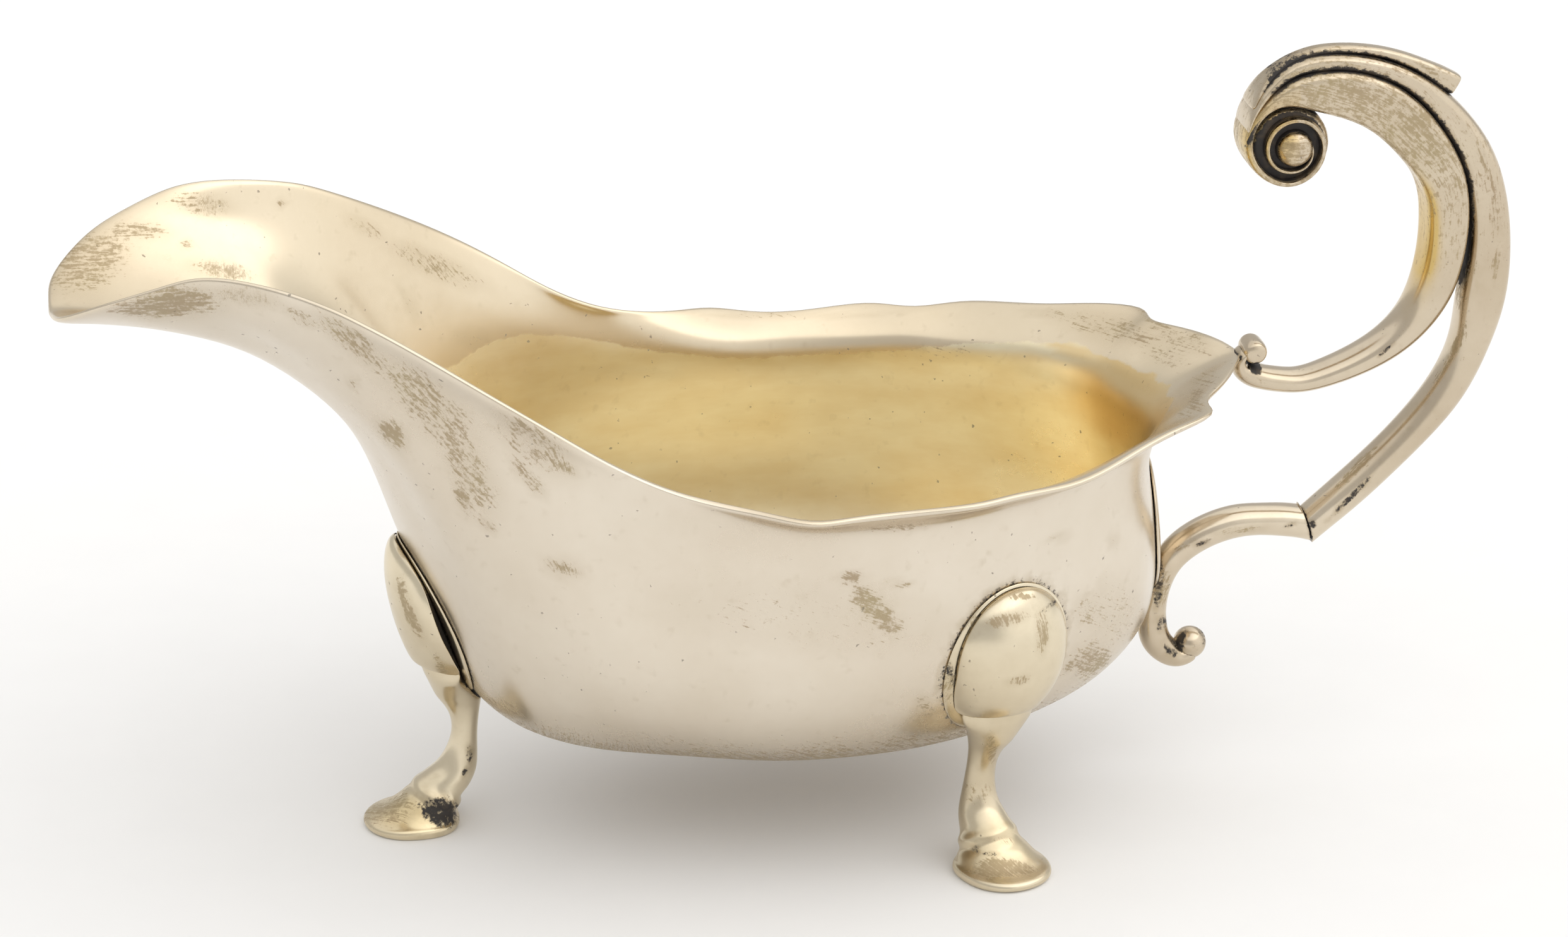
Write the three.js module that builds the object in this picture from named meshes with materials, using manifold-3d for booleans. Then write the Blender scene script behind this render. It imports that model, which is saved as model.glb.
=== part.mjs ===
// Sauce boat on three hoof feet, with a high spout, a wavy everted rim and a double scroll handle.
// Millimetres, +X from the spout to the handle, +Y to the boat's right, +Z up, feet on Z 0.
import * as THREE from "three";
import { mergeVertices } from "three/addons/utils/BufferGeometryUtils.js";
import Module from "manifold-3d";

const wasm = await Module();
wasm.setup();

// Driving dimensions of the bowl
const BOAT_LENGTH = 151.8; // lip of the spout to the rear tip of the rim
const BOAT_WIDTH = 75.8; // across the two points of the rim
const BOAT_CLEARANCE = 11.4; // ground to the underside
const BOAT_DEPTH = 42.2; // underside to the lowest part of the rim
const SPOUT_RISE = 29.4; // lowest part of the rim to the crest of the spout
const WALL = 0.9; // sheet the bowl is raised from
const SEAT_GAP = 0.3; // room for the solder at every seat

// Driving dimensions of the handle
const HANDLE_REACH = 35.8; // rear tip of the rim to the back of the handle
const HANDLE_RISE = 41.2; // rear tip of the rim to the top of the handle
const HANDLE_WIDTH = 7; // across the widest part of the scrolls
const BACK_PLATE_WIDTH = 17;
const BACK_PLATE_HEIGHT = 19;
const BACK_PLATE_THICKNESS = 0.5;
const BACK_PLATE_MIDDLE = 36; // drawn height of its middle
const VOLUTE_RING_RADIUS = 4; // innermost coil of the volute
const VOLUTE_EYE_RADIUS = 2.1;
const VOLUTE_WEB_WIDTH = 5; // sunk disc behind the eye
const VOLUTE_EYE_WIDTH = 8.6;
const RIM_CURL_RADIUS = 1.6;
const RIM_CURL_WIDTH = 4.8;
const END_BALL_RADIUS = 2.2;
const SCROLL_SQUARENESS = 3; // 2 is an oval section

// Driving dimensions of a foot
const HOOF_LENGTH = 12.2; // heel to toe
const HOOF_WIDTH = 11.9;
const HOOF_SOLE = 1.3; // flat band round the sole
const LEG_HEIGHT = 21.8; // ground to the seam under the knee
const KNEE_WIDTH = 15.8;
const KNEE_HEIGHT = 20.2;
const KNEE_EDGE = 0.6; // knee's thickness at its edge
const KNEE_BULGE = 3.2; // more in its middle
const KNEE_DROOP = 0.34; // share by which the bulge sits low
const FOOT_PLATE_MARGIN = 0.6; // plate showing round the knee
const FOOT_PLATE_THICKNESS = 0.6;
const REAR_FOOT_TURN = THREE.MathUtils.degToRad(26); // rear feet turned from the side to the back
const FRONT_FOOT_STATION = 42.8; // lip of the spout to the middle of the front hoof
const REAR_FOOT_STATION = 116.1; // lip of the spout to the middle of a rear hoof
const REAR_FOOT_SPREAD = 57; // between the middles of the rear hooves

// Mesh steps
const STEPS_AROUND = 5; // between two meridians of the bowl
const STEPS_UP = 2; // between two levels of the bowl
const STEPS_ALONG = 2; // between two rows of a scroll
const SIDES = 16; // round a scroll or a leg
const PATCH_SIDES = 28; // round a knee or plate
const PATCH_RINGS = 5;
const CORNER_STEPS = 3; // round a turned corner

// The rim from the middle of the rear to the lip, as drawn: [x from the lip, half width, height].
// Each stretch runs smoothly between two corners, and a fourth value numbers the meridian it starts.
const RIM_STRETCHES = [
  [[151.8, 0, 57.2, 0], [150.7, 3.2, 57.6], [148.6, 7.7, 57.5], [145.7, 12.2, 57.2],
    [143.2, 15.8, 57], [143.7, 19, 57.1, 1]],
  [[143.7, 19, 57.1, 1], [139, 22.2, 56.9], [133.8, 25.2, 56], [128.4, 29.2, 55.1],
    [122.9, 32.5, 54.5], [118.8, 33.5, 54.2], [115.9, 33.1, 53.9, 2]],
  [[115.9, 33.1, 53.9, 2], [111.6, 35.4, 54], [105.5, 35.8, 53.8], [99.4, 35.6, 53.6],
    [93.5, 36.4, 53.6], [88.7, 37.9, 53.9, 3]],
  [[88.7, 37.9, 53.9, 3], [83, 35.4, 54.8], [75.5, 33.4, 56.6], [68.9, 32.3, 59.4],
    [60.8, 32.2, 64.1, 4], [56.1, 31.7, 67.1], [48.7, 29.9, 71.6], [41.4, 27, 75.8],
    [34.3, 24.3, 79.5, 5], [26, 20.5, 82.2], [17.6, 17.5, 83, 6], [10.8, 15.7, 80.9],
    [5.6, 13.2, 78.6, 7], [0.8, 7.5, 75.2], [0, 0, 73.3, 8]],
];
// The wall below the rim on each of those meridians, from the floor up to the root of the flange
const WALL_MERIDIANS = [
  [[115.5, 0, 12.6], [132.3, 0, 16.5], [139.5, 0, 23.4], [140.8, 0, 32.1], [140.1, 0, 41.1],
    [139.5, 0, 47.8], [141.8, 0, 52.3]],
  [[111.5, 8.1, 12.5], [127.1, 12.5, 17], [133.8, 14.7, 24.3], [135.8, 15.5, 32.7], [135.4, 15.5, 41.2],
    [134.9, 15.4, 47.8], [136.6, 15.6, 52.7]],
  [[102.5, 13.9, 12.5], [110.2, 22.5, 17], [113.2, 27.3, 25.1], [114.3, 29.4, 33.8], [114.5, 29.8, 41.5],
    [114.3, 29.8, 47.6], [114.8, 30.4, 51.7]],
  [[91, 15.2, 12.6], [89.5, 24.9, 17.3], [89.2, 30.7, 25.5], [89, 33.1, 34.7], [88.9, 33.1, 42.4],
    [88.8, 32.8, 48], [88.7, 33.5, 51.8]],
  [[78.3, 13.9, 13.4], [72.7, 21.7, 18.1], [69.1, 27.2, 26.2], [66.9, 29.5, 36], [65.5, 30.1, 46.3],
    [63.5, 30.4, 54.5], [61.7, 31.1, 60.8]],
  [[70.3, 10.9, 13.5], [60.7, 15.8, 17.8], [55.5, 18.4, 26.6], [51.5, 19.8, 38.2], [45.3, 20.6, 53.7],
    [39.3, 21, 67], [35.5, 22.6, 75.5]],
  [[66.2, 7.6, 13.5], [55.8, 10.3, 17.6], [50.5, 11.6, 27.7], [46, 12.2, 40.2], [39.2, 13.4, 57.2],
    [28, 13, 70.9], [20, 15.4, 78.1]],
  [[63.6, 4, 13.3], [53.1, 5.4, 17.9], [48.2, 6.3, 28.1], [43, 6.4, 42.2], [35.7, 7.2, 59],
    [23.3, 6.7, 69.6], [10.5, 9.1, 74.8]],
  [[62.6, 0, 13.3], [51.7, 0, 18.1], [46.9, 0, 28.6], [41.5, 0, 42.9], [35.1, 0, 58.6], [21.8, 0, 69.3],
    [7.5, 0, 72.5]],
];
const WALL_POLE = [94.5, 0, 11.4]; // lowest point of the underside

// Stretches the drawn form to the driving dimensions, with the boat's middle over the origin.
const drawnRim = RIM_STRETCHES.flat();
const drawnLength = Math.max(...drawnRim.map((point) => point[0]));
const drawnHalfWidth = Math.max(...drawnRim.map((point) => point[1]));
const drawnWaist = Math.min(...drawnRim.map((point) => point[2]));
const drawnCrest = Math.max(...drawnRim.map((point) => point[2]));
const LIP_X = -(BOAT_LENGTH + HANDLE_REACH) / 2;
const WAIST_Z = BOAT_CLEARANCE + BOAT_DEPTH;

function placeHeight(z) {
  if (z > drawnWaist) {
    return WAIST_Z + (z - drawnWaist) / (drawnCrest - drawnWaist) * SPOUT_RISE;
  }
  return BOAT_CLEARANCE + (z - WALL_POLE[2]) / (drawnWaist - WALL_POLE[2]) * BOAT_DEPTH;
}

function placePoint([x, y, z]) {
  const across = y / drawnHalfWidth * BOAT_WIDTH / 2;
  return new THREE.Vector3(LIP_X + x / drawnLength * BOAT_LENGTH, across, placeHeight(z));
}

// Meshes and solids

function toSolid(geometry) {
  const bare = geometry.clone();
  bare.deleteAttribute("normal");
  bare.deleteAttribute("uv");
  const merged = mergeVertices(bare, 1e-4);
  const vertProperties = new Float32Array(merged.attributes.position.array);
  const triVerts = new Uint32Array(merged.index.array);
  return new wasm.Manifold(new wasm.Mesh({ numProp: 3, vertProperties, triVerts }));
}

// The body of a cut piece, without the loose slivers that a cut can leave
function mainBody(solid) {
  return solid.decompose().sort((a, b) => b.volume() - a.volume())[0];
}

function toGeometry(solid) {
  const { vertProperties, triVerts } = solid.getMesh();
  const geometry = new THREE.BufferGeometry();
  geometry.setAttribute("position", new THREE.BufferAttribute(vertProperties, 3));
  geometry.setIndex(new THREE.BufferAttribute(triVerts, 1));
  geometry.computeVertexNormals();
  return geometry;
}

// Joins closed rings of points in order and closes both ends on a point, with the faces out.
function loft(rings, startPoint, endPoint) {
  const count = rings[0].length;
  const points = [startPoint, ...rings.flat(), endPoint];
  const last = points.length - 1;
  const triangles = [];
  for (let side = 0; side < count; side += 1) {
    const next = (side + 1) % count;
    triangles.push([0, 1 + next, 1 + side]);
    for (let ring = 0; ring < rings.length - 1; ring += 1) {
      const here = 1 + ring * count;
      const above = here + count;
      triangles.push([here + side, here + next, above + next]);
      triangles.push([here + side, above + next, above + side]);
    }
    triangles.push([last - count + side, last - count + next, last]);
  }
  const volume = triangles.reduce((sum, [a, b, c]) => (
    sum + points[a].dot(points[b].clone().cross(points[c]))), 0);
  const outward = volume > 0 ? triangles : triangles.map(([a, b, c]) => [a, c, b]);
  const geometry = new THREE.BufferGeometry().setFromPoints(points);
  geometry.setIndex(outward.flat());
  geometry.computeVertexNormals();
  return geometry;
}

function middleOf(ring) {
  return ring.reduce((sum, point) => sum.add(point), new THREE.Vector3()).divideScalar(ring.length);
}

// A rounded section: 2 is an ellipse, and a higher exponent is squarer.
function roundedSection(angle, exponent) {
  const along = Math.cos(angle);
  const across = Math.sin(angle);
  const soften = (value) => Math.sign(value) * Math.abs(value) ** (2 / exponent);
  return [soften(along), soften(across)];
}

// The bowl's surface

function smoothCurve(points, closed = false) {
  return new THREE.CatmullRomCurve3(points, closed, "centripetal");
}

const MERIDIANS = WALL_MERIDIANS.length - 1;
const mirror = (point) => new THREE.Vector3(point.x, -point.y, point.z);

// One closed curve for each level of the wall, through all the meridians and their mirror images
const levelCurves = WALL_MERIDIANS[0].map((_, level) => {
  const right = WALL_MERIDIANS.map((meridian) => placePoint(meridian[level]));
  const left = right.slice(1, MERIDIANS).reverse().map(mirror);
  return smoothCurve([...right, ...left], true);
});

// The rim's stretches, each with the meridian number of every point on it
const rimStretches = RIM_STRETCHES.map((stretch) => {
  const points = stretch.map(placePoint);
  const stations = stretch.map((point) => point[3]);
  for (let start = 0; start < points.length - 1;) {
    const end = stations.findIndex((station, index) => index > start && station !== undefined);
    const travelled = [0];
    for (let index = start; index < end; index += 1) {
      travelled.push(travelled.at(-1) + points[index].distanceTo(points[index + 1]));
    }
    for (let index = start + 1; index < end; index += 1) {
      stations[index] = stations[start] + travelled[index - start] / travelled.at(-1);
    }
    start = end;
  }
  return { stations, curve: smoothCurve(points) };
});

function rimPoint(station) {
  const side = station > MERIDIANS ? 2 * MERIDIANS - station : station;
  const { stations, curve } = rimStretches.find((stretch) => side <= stretch.stations.at(-1));
  const index = Math.max(1, stations.findIndex((value) => value >= side - 1e-9));
  const within = (side - stations[index - 1]) / (stations[index] - stations[index - 1]);
  const point = curve.getPoint((index - 1 + within) / (stations.length - 1));
  return station > MERIDIANS ? mirror(point) : point;
}

// The outer surface: height runs from 0 at the underside's lowest point to 1 at the rim.
const LEVELS = levelCurves.length + 1;
const POLE = placePoint(WALL_POLE);

function meridianCurve(station) {
  const turn = station / (2 * MERIDIANS);
  const wall = levelCurves.map((curve) => curve.getPoint(turn % 1));
  return smoothCurve([POLE, ...wall, rimPoint(station)]);
}

// Rings of points on the bowl's wall, moved outward by the offset, and past the rim by the reach.
function wallRings(offset, reach) {
  const around = 2 * MERIDIANS * STEPS_AROUND;
  const rings = Array.from({ length: LEVELS * STEPS_UP }, () => []);
  for (let side = 0; side < around; side += 1) {
    const station = side / STEPS_AROUND;
    const curve = meridianCurve(station);
    const before = meridianCurve((station + 2 * MERIDIANS - 0.02) % (2 * MERIDIANS));
    const after = meridianCurve((station + 0.02) % (2 * MERIDIANS));
    rings.forEach((ring, index) => {
      const height = (index + 1) / rings.length;
      const up = curve.getTangent(height);
      const along = after.getPoint(height).sub(before.getPoint(height));
      const out = along.cross(up).normalize();
      const point = curve.getPoint(height).addScaledVector(out, offset);
      if (index === rings.length - 1) {
        point.addScaledVector(up, reach);
      }
      ring.push(point);
    });
  }
  return rings;
}

// The bowl as a closed sheet, or with a gap added all over it, as a cutter for what it carries
function bowlGeometry(gap = 0) {
  const outside = wallRings(gap, gap);
  const inside = wallRings(-WALL - gap, gap).reverse();
  const below = POLE.clone().setZ(POLE.z - gap);
  const above = POLE.clone().setZ(POLE.z + WALL + gap);
  return loft([...outside, ...inside], below, above);
}

const bowl = bowlGeometry();
const bowlClearance = toSolid(bowlGeometry(SEAT_GAP));

// How far along a ray the bowl's outside lies
const wallMesh = new THREE.Mesh(bowl, new THREE.MeshBasicMaterial({ side: THREE.DoubleSide }));
const ray = new THREE.Raycaster();

function distanceToWall(from, direction) {
  ray.set(from, direction);
  return ray.intersectObject(wallMesh)[0].distance;
}

// An oval plate or cushion lying on the bowl. Its seat faces the wall along one level direction.
// The oval's radius at an angle may narrow downward, and it swells by the bulge in the middle.
function ovalPatch({
  seat, outward, width, height, narrow = 0, lift, thickness, bulge = 0, droop = 0,
}) {
  const sideways = new THREE.Vector3(0, 0, 1).cross(outward);
  const far = outward.clone().multiplyScalar(BOAT_WIDTH);
  const inward = outward.clone().negate();
  const surface = (radius, angle, offset) => {
    const z = Math.sin(angle) * radius * height / 2;
    const taper = 1 - narrow * (0.5 - z / height);
    const across = Math.cos(angle) * radius * width / 2 * taper;
    const point = seat.clone().addScaledVector(sideways, across).setZ(seat.z + z);
    const from = point.clone().add(far);
    return from.addScaledVector(inward, distanceToWall(from, inward) - offset);
  };
  const swell = (radius, angle) => (
    bulge * (1 - radius ** 2.4) ** 0.6 * (1 - droop * radius * Math.sin(angle)));
  const ringAt = (radius, offset) => Array.from({ length: PATCH_SIDES }, (_, side) => {
    const angle = side / PATCH_SIDES * 2 * Math.PI;
    return surface(radius, angle, offset(radius, angle));
  });
  const radii = Array.from({ length: PATCH_RINGS }, (_, ring) => Math.sqrt((ring + 1) / PATCH_RINGS));
  const faceOffset = (radius, angle) => lift + thickness + swell(radius, angle);
  const front = radii.map((radius) => ringAt(radius, faceOffset));
  const back = radii.map((radius) => ringAt(radius, () => lift)).reverse();
  const top = surface(0, 0, lift + thickness + bulge);
  return loft([...front, ...back], top, surface(0, 0, lift));
}

// A foot: a plate on the bowl, a hollow-looking knee on the plate, and a leg ending in a hoof.
// In a foot's own frame the heel is at 0, the toe points forward and the ground is at Z 0.
const KNEE_MIDDLE = 29.9; // ground to the middle of the knee
const KNEE_FORWARD = 2.5; // heel to the wall behind the knee, on a leg that doesn't lean
const LEG_ROWS = [ // height, back, front, share of the width, squareness of the toe and of the heel
  [0, 0, 11.7, 0.98, 2.1, 6],
  [HOOF_SOLE * 0.25, 0, 11.9, 1, 2.1, 6],
  [HOOF_SOLE, 0, 11.7, 0.99, 2.1, 6],
  [HOOF_SOLE * 1.3, 0.1, 9.9, 0.92, 2.1, 6],
  [2.9, 0, 7.7, 0.82, 2.1, 4],
  [4.2, -0.5, 6.2, 0.68, 2.1, 3.2],
  [5.1, -1.5, 5.5, 0.56, 2.1, 2.4],
  [6.6, -2.5, 4.3, 0.46, 2, 2.2],
  [8.1, -2.85, 2.4, 0.4, 2, 2],
  [10.4, -2.85, 1.2, 0.36, 2, 2],
  [13.1, -2.8, 0.6, 0.34, 2, 2],
  [16.2, -2.9, 1.3, 0.36, 2, 2],
  [18.3, -2.3, 2.55, 0.48, 2, 2],
  [20, -0.9, 3.5, 0.64, 2.1, 2.1],
  [LEG_HEIGHT, 0.9, 4.6, 0.9, 2.2, 2.2],
];

const drawnHoof = Math.max(...LEG_ROWS.map((row) => row[2]));

function legGeometry(lean) {
  const rings = LEG_ROWS.map(([z, back, front, share, toe, heel]) => {
    const shift = lean * THREE.MathUtils.smoothstep(z, HOOF_SOLE, LEG_HEIGHT);
    const middle = (back + front) / 2 / drawnHoof * HOOF_LENGTH + shift;
    const reach = (front - back) / 2 / drawnHoof * HOOF_LENGTH;
    return Array.from({ length: SIDES }, (_, side) => {
      const angle = side / SIDES * 2 * Math.PI;
      const [along, across] = roundedSection(angle, Math.cos(angle) > 0 ? toe : heel);
      return new THREE.Vector3(middle + reach * along, across * share * HOOF_WIDTH / 2, z);
    });
  });
  return loft(rings, middleOf(rings[0]), middleOf(rings.at(-1)));
}

function makeFoot(middle, turn) {
  const outward = new THREE.Vector3(Math.cos(turn), Math.sin(turn), 0);
  middle.setZ(KNEE_MIDDLE);
  const start = middle.clone().addScaledVector(outward, BOAT_LENGTH);
  const wallDistance = BOAT_LENGTH - distanceToWall(start, outward.clone().negate());
  const seat = middle.clone().addScaledVector(outward, wallDistance);
  const plateThickness = FOOT_PLATE_THICKNESS;
  const plateSize = {
    seat,
    outward,
    width: KNEE_WIDTH + 2 * FOOT_PLATE_MARGIN,
    height: KNEE_HEIGHT + 2 * FOOT_PLATE_MARGIN,
  };
  const plate = ovalPatch({ ...plateSize, lift: SEAT_GAP, thickness: plateThickness });
  const plateClearance = toSolid(ovalPatch({
    ...plateSize,
    width: plateSize.width + 2 * SEAT_GAP,
    height: plateSize.height + 2 * SEAT_GAP,
    lift: 0,
    thickness: plateThickness + 2 * SEAT_GAP,
  }));
  const knee = toSolid(ovalPatch({
    seat,
    outward,
    width: KNEE_WIDTH,
    height: KNEE_HEIGHT,
    narrow: 0.25,
    lift: 2 * SEAT_GAP + plateThickness,
    thickness: KNEE_EDGE,
    bulge: KNEE_BULGE,
    droop: KNEE_DROOP,
  }));
  const heel = middle.clone().setZ(0).addScaledVector(outward, -HOOF_LENGTH / 2);
  const lean = wallDistance + HOOF_LENGTH / 2 - KNEE_FORWARD;
  const legFrame = new THREE.Matrix4().makeRotationZ(turn).setPosition(heel);
  const leg = toSolid(legGeometry(lean).applyMatrix4(legFrame));
  const seamPlane = [0, 0, 1];
  return {
    plate,
    knee: toGeometry(knee.trimByPlane(seamPlane, LEG_HEIGHT + SEAT_GAP)),
    leg: toGeometry(mainBody(leg.subtract(bowlClearance).subtract(plateClearance))),
  };
}

// The handle. Its scrolls are drawn in the boat's middle plane as [x, z, depth, width], with x and z
// from the rear tip of the rim, and its lower scroll hugs the wall below the back plate.
const OUTER_SCROLL = [
  [8.4, -26.4, 4.3, 5.4], [11.1, -24.1, 4.4, 5.5], [15, -20.8, 4.6, 5.8], [19.5, -16.7, 4.6, 6],
  [24.2, -11.9, 4.7, 6.2], [28.3, -6.6, 4.9, 6.4], [31, -0.6, 5.1, 6.5], [32.2, 4.9, 6, 6.6],
  [32.8, 10.2, 5.9, 6.6], [32.8, 15.6, 5.4, 6.4], [32, 20.6, 5.2, 6.2], [30.4, 25.4, 4.8, 6],
  [27.9, 29.5, 4.3, 5.7], [25.4, 32.5, 3.7, 5.5], [22.3, 35.3, 2.9, 5.4], [18.7, 37.4, 2.5, 5.4],
  [13.2, 39, 2.2, 5.4], [9.4, 39.2, 2.2, 5.3], [5.9, 38.6, 1.9, 5.2], [3, 36.7, 1.6, 4.8],
  [1, 34.2, 1.3, 4.2], [-0.2, 31.5, 1, 3.4],
];
const INNER_SCROLL = [
  [2, 0.4, 1.6, 4], [0.4, -0.3, 1.6, 4.2], [0.2, -1.8, 2.1, 4.5], [1.5, -3.2, 2.6, 4.7],
  [3.2, -3.8, 2.7, 4.8], [5.2, -4.1, 2.9, 4.9], [7.9, -4.3, 3.1, 5], [11.7, -3.6, 3.4, 5.4],
  [15.8, -2.1, 3.8, 5.8], [19.8, 0.1, 4.3, 6.2], [23.2, 3.3, 4.9, 6.6], [25.4, 7.2, 5.5, 7],
  [26.6, 12, 5.5, 7.3], [26.9, 16.8, 5.5, 7.5], [26.6, 20.3, 5.6, 7.5], [25.5, 23.8, 5.9, 7.5],
  [23.2, 27.4, 6.4, 7.5], [19.8, 31.2, 6.7, 7.5], [16.1, 33.8, 6.6, 7.5], [12.2, 35, 6.9, 7.5],
  [6.9, 35.2, 6.3, 7.5], [2.7, 33.4, 4.3, 7.5], [0.7, 29.2, 2.9, 7.5], [1.7, 25.2, 2.4, 7.5],
  [5, 23.7, 1.7, 7.5], [8.3, 24.9, 1.4, 7.5], [9.7, 28.3, 1.2, 7.3], [9, 31.1, 1.1, 7],
  [6.8, 32.4, 1, 6.6],
];
const VOLUTE_EYE = [5.4, 28.5];
const RIM_CURL = [2, 0.4];
const THUMB_LEAF = [
  [1.3, 35.6, 0.9, 1.6], [3, 37.6, 1.1, 2], [5.4, 39.3, 1.2, 2.3], [8.6, 40.4, 1.2, 2.4],
  [12.2, 40.6, 1.2, 2.5], [16, 40.2, 1.2, 2.6], [19.8, 39.1, 1.5, 2.8], [23.2, 37.5, 2, 3],
  [26, 35.8, 2.7, 3], [27.4, 35, 2.7, 2.6],
];
const LOWER_SCROLL = [
  [12.5, -25.5, 4.2, 5.4], [9.6, -24.5, 4.2, 5.4], [6.2, -23.9, 4.2, 5.2], [3.8, -23.7, 4.1, 5.1],
  [1.1, -23.7, 4.2, 5], [-2.5, -24.5, 4.2, 4.9], [-5.9, -26.2, 4.1, 4.8], [-8.3, -28.5, 3.8, 4.7],
  [-9.8, -32, 3.4, 4.6], [-10.4, -35.2, 3.6, 4.6], [-10.4, -37.3, 3.8, 4.5], [-9.9, -39.7, 4, 4.4],
  [-8.5, -41.5, 3.7, 4.3], [-6.8, -42.4, 3.2, 4.2], [-5.2, -42, 2.5, 4.1],
];
const END_BALL = [-5.2, -40.7];

const rimTip = rimPoint(0);
const rimTop = rimTip.z + WALL;
const drawnReach = Math.max(...OUTER_SCROLL.map(([x, , depth]) => x + depth / 2));
const drawnRise = Math.max(...THUMB_LEAF.map(([, z, depth]) => z + depth / 2));
const drawnWidth = Math.max(...INNER_SCROLL.map((row) => row[3]));
const drawnDrop = drawnWaist - WALL_POLE[2];

// Behind the rim tip the handle stretches with its reach, and in front of it with the boat.
// Above the tip it stretches with its rise, and below it with the depth of the bowl.
function placeInMiddle(x, z) {
  const lengthwise = x > 0 ? HANDLE_REACH / drawnReach : BOAT_LENGTH / drawnLength;
  const upright = z > 0 ? HANDLE_RISE / drawnRise : BOAT_DEPTH / drawnDrop;
  return new THREE.Vector3(rimTip.x + x * lengthwise, 0, rimTop + z * upright);
}

// A scroll swept along its drawn line, swollen on every side by the clearance
function sweepScroll(rows, clearance = 0) {
  const line = smoothCurve(rows.map(([x, z]) => placeInMiddle(x, z)));
  const sizes = smoothCurve(rows.map(([, , depth, width]) => new THREE.Vector3(depth, width, 0)));
  const steps = (rows.length - 1) * STEPS_ALONG;
  const rings = Array.from({ length: steps + 1 }, (_, step) => {
    const middle = line.getPoint(step / steps);
    const ahead = line.getTangent(step / steps);
    const size = sizes.getPoint(step / steps);
    const upward = new THREE.Vector3(-ahead.z, 0, ahead.x);
    const end = step === 0 ? -clearance : (step === steps ? clearance : 0);
    const halfDepth = size.x / 2 + clearance;
    const halfWidth = size.y / drawnWidth * HANDLE_WIDTH / 2 + clearance;
    return Array.from({ length: SIDES }, (__, side) => {
      const [along, across] = roundedSection(side / SIDES * 2 * Math.PI, SCROLL_SQUARENESS);
      const point = middle.clone().addScaledVector(ahead, end);
      point.addScaledVector(upward, along * halfDepth);
      return point.setY(across * halfWidth);
    });
  });
  return toSolid(loft(rings, middleOf(rings[0]), middleOf(rings.at(-1))));
}

// A round part turned about an axis across the boat, with rounded corners
function turnedAcross([x, z], radius, width, corner) {
  const profile = [new THREE.Vector2(0, -width / 2)];
  for (const end of [-1, 1]) {
    for (let step = 0; step <= CORNER_STEPS; step += 1) {
      const turned = (end < 0 ? step : CORNER_STEPS - step) / CORNER_STEPS * Math.PI / 2;
      profile.push(new THREE.Vector2(
        radius - corner + corner * Math.sin(turned),
        end * (width / 2 - corner + corner * Math.cos(turned)),
      ));
    }
  }
  profile.push(new THREE.Vector2(0, width / 2));
  const middle = placeInMiddle(x, z);
  return toSolid(new THREE.LatheGeometry(profile, SIDES).translate(middle.x, 0, middle.z));
}

// The upper and lower halves of the handle meet in a mitre, seen as a slanting seam.
const MITRE_CORNERS = [[10.5, -26.9], [9.1, -21.8]];

function mitrePlane() {
  const [below, above] = MITRE_CORNERS.map(([x, z]) => placeInMiddle(x, z));
  const normal = above.clone().sub(below).normalize();
  normal.set(normal.z, 0, -normal.x);
  return { normal, offset: normal.dot(below) };
}

function makeBackPlate(clearance) {
  const middle = new THREE.Vector3(0, 0, placeHeight(BACK_PLATE_MIDDLE));
  const outward = new THREE.Vector3(1, 0, 0);
  const start = middle.clone().setX(BOAT_LENGTH);
  middle.x = start.x - distanceToWall(start, outward.clone().negate());
  return ovalPatch({
    seat: middle,
    outward,
    width: BACK_PLATE_WIDTH + 2 * clearance,
    height: BACK_PLATE_HEIGHT + 2 * clearance,
    lift: SEAT_GAP - clearance,
    thickness: BACK_PLATE_THICKNESS + 2 * clearance,
  });
}

function makeHandle() {
  const innerScroll = (clearance) => sweepScroll(INNER_SCROLL, clearance)
    .add(turnedAcross(VOLUTE_EYE, VOLUTE_RING_RADIUS, VOLUTE_WEB_WIDTH, 0.4));
  const eye = turnedAcross(VOLUTE_EYE, VOLUTE_EYE_RADIUS, VOLUTE_EYE_WIDTH, VOLUTE_EYE_RADIUS * 0.8);
  const curl = turnedAcross(RIM_CURL, RIM_CURL_RADIUS, RIM_CURL_WIDTH, RIM_CURL_RADIUS * 0.5);
  const ball = placeInMiddle(...END_BALL);
  const ballSolid = toSolid(new THREE.SphereGeometry(END_BALL_RADIUS, SIDES, SIDES / 2)
    .translate(ball.x, ball.y, ball.z));
  const { normal, offset } = mitrePlane();
  const aheadOfMitre = normal.clone().negate().toArray();
  const inner = innerScroll(0).add(eye).add(curl).subtract(bowlClearance);
  const innerClearance = innerScroll(SEAT_GAP);
  const outer = sweepScroll(OUTER_SCROLL).subtract(innerClearance)
    .trimByPlane(normal.toArray(), offset + SEAT_GAP / 2);
  const leaf = sweepScroll(THUMB_LEAF)
    .subtract(sweepScroll(OUTER_SCROLL, SEAT_GAP))
    .subtract(innerClearance);
  const lower = sweepScroll(LOWER_SCROLL).add(ballSolid)
    .trimByPlane(aheadOfMitre, -offset + SEAT_GAP / 2)
    .subtract(bowlClearance)
    .subtract(toSolid(makeBackPlate(SEAT_GAP)));
  const pieces = { inner_scroll: inner, outer_scroll: outer, thumb_leaf: leaf, lower_scroll: lower };
  return Object.entries(pieces).map(([name, solid]) => [name, toGeometry(mainBody(solid))]);
}

// Materials: three tones of silver
const silver = (color, roughness) => new THREE.MeshStandardMaterial({ color, roughness, metalness: 1 });
const BOWL_SILVER = silver(0xd8d0c0, 0.18);
const CAST_SILVER = silver(0xcfc3a4, 0.24);
const FOOT_SILVER = silver(0xd2c49c, 0.22);

const sauceBoat = new THREE.Group();

function addPiece(name, geometry, material) {
  const mesh = new THREE.Mesh(geometry, material);
  mesh.name = name;
  sauceBoat.add(mesh);
}

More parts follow.
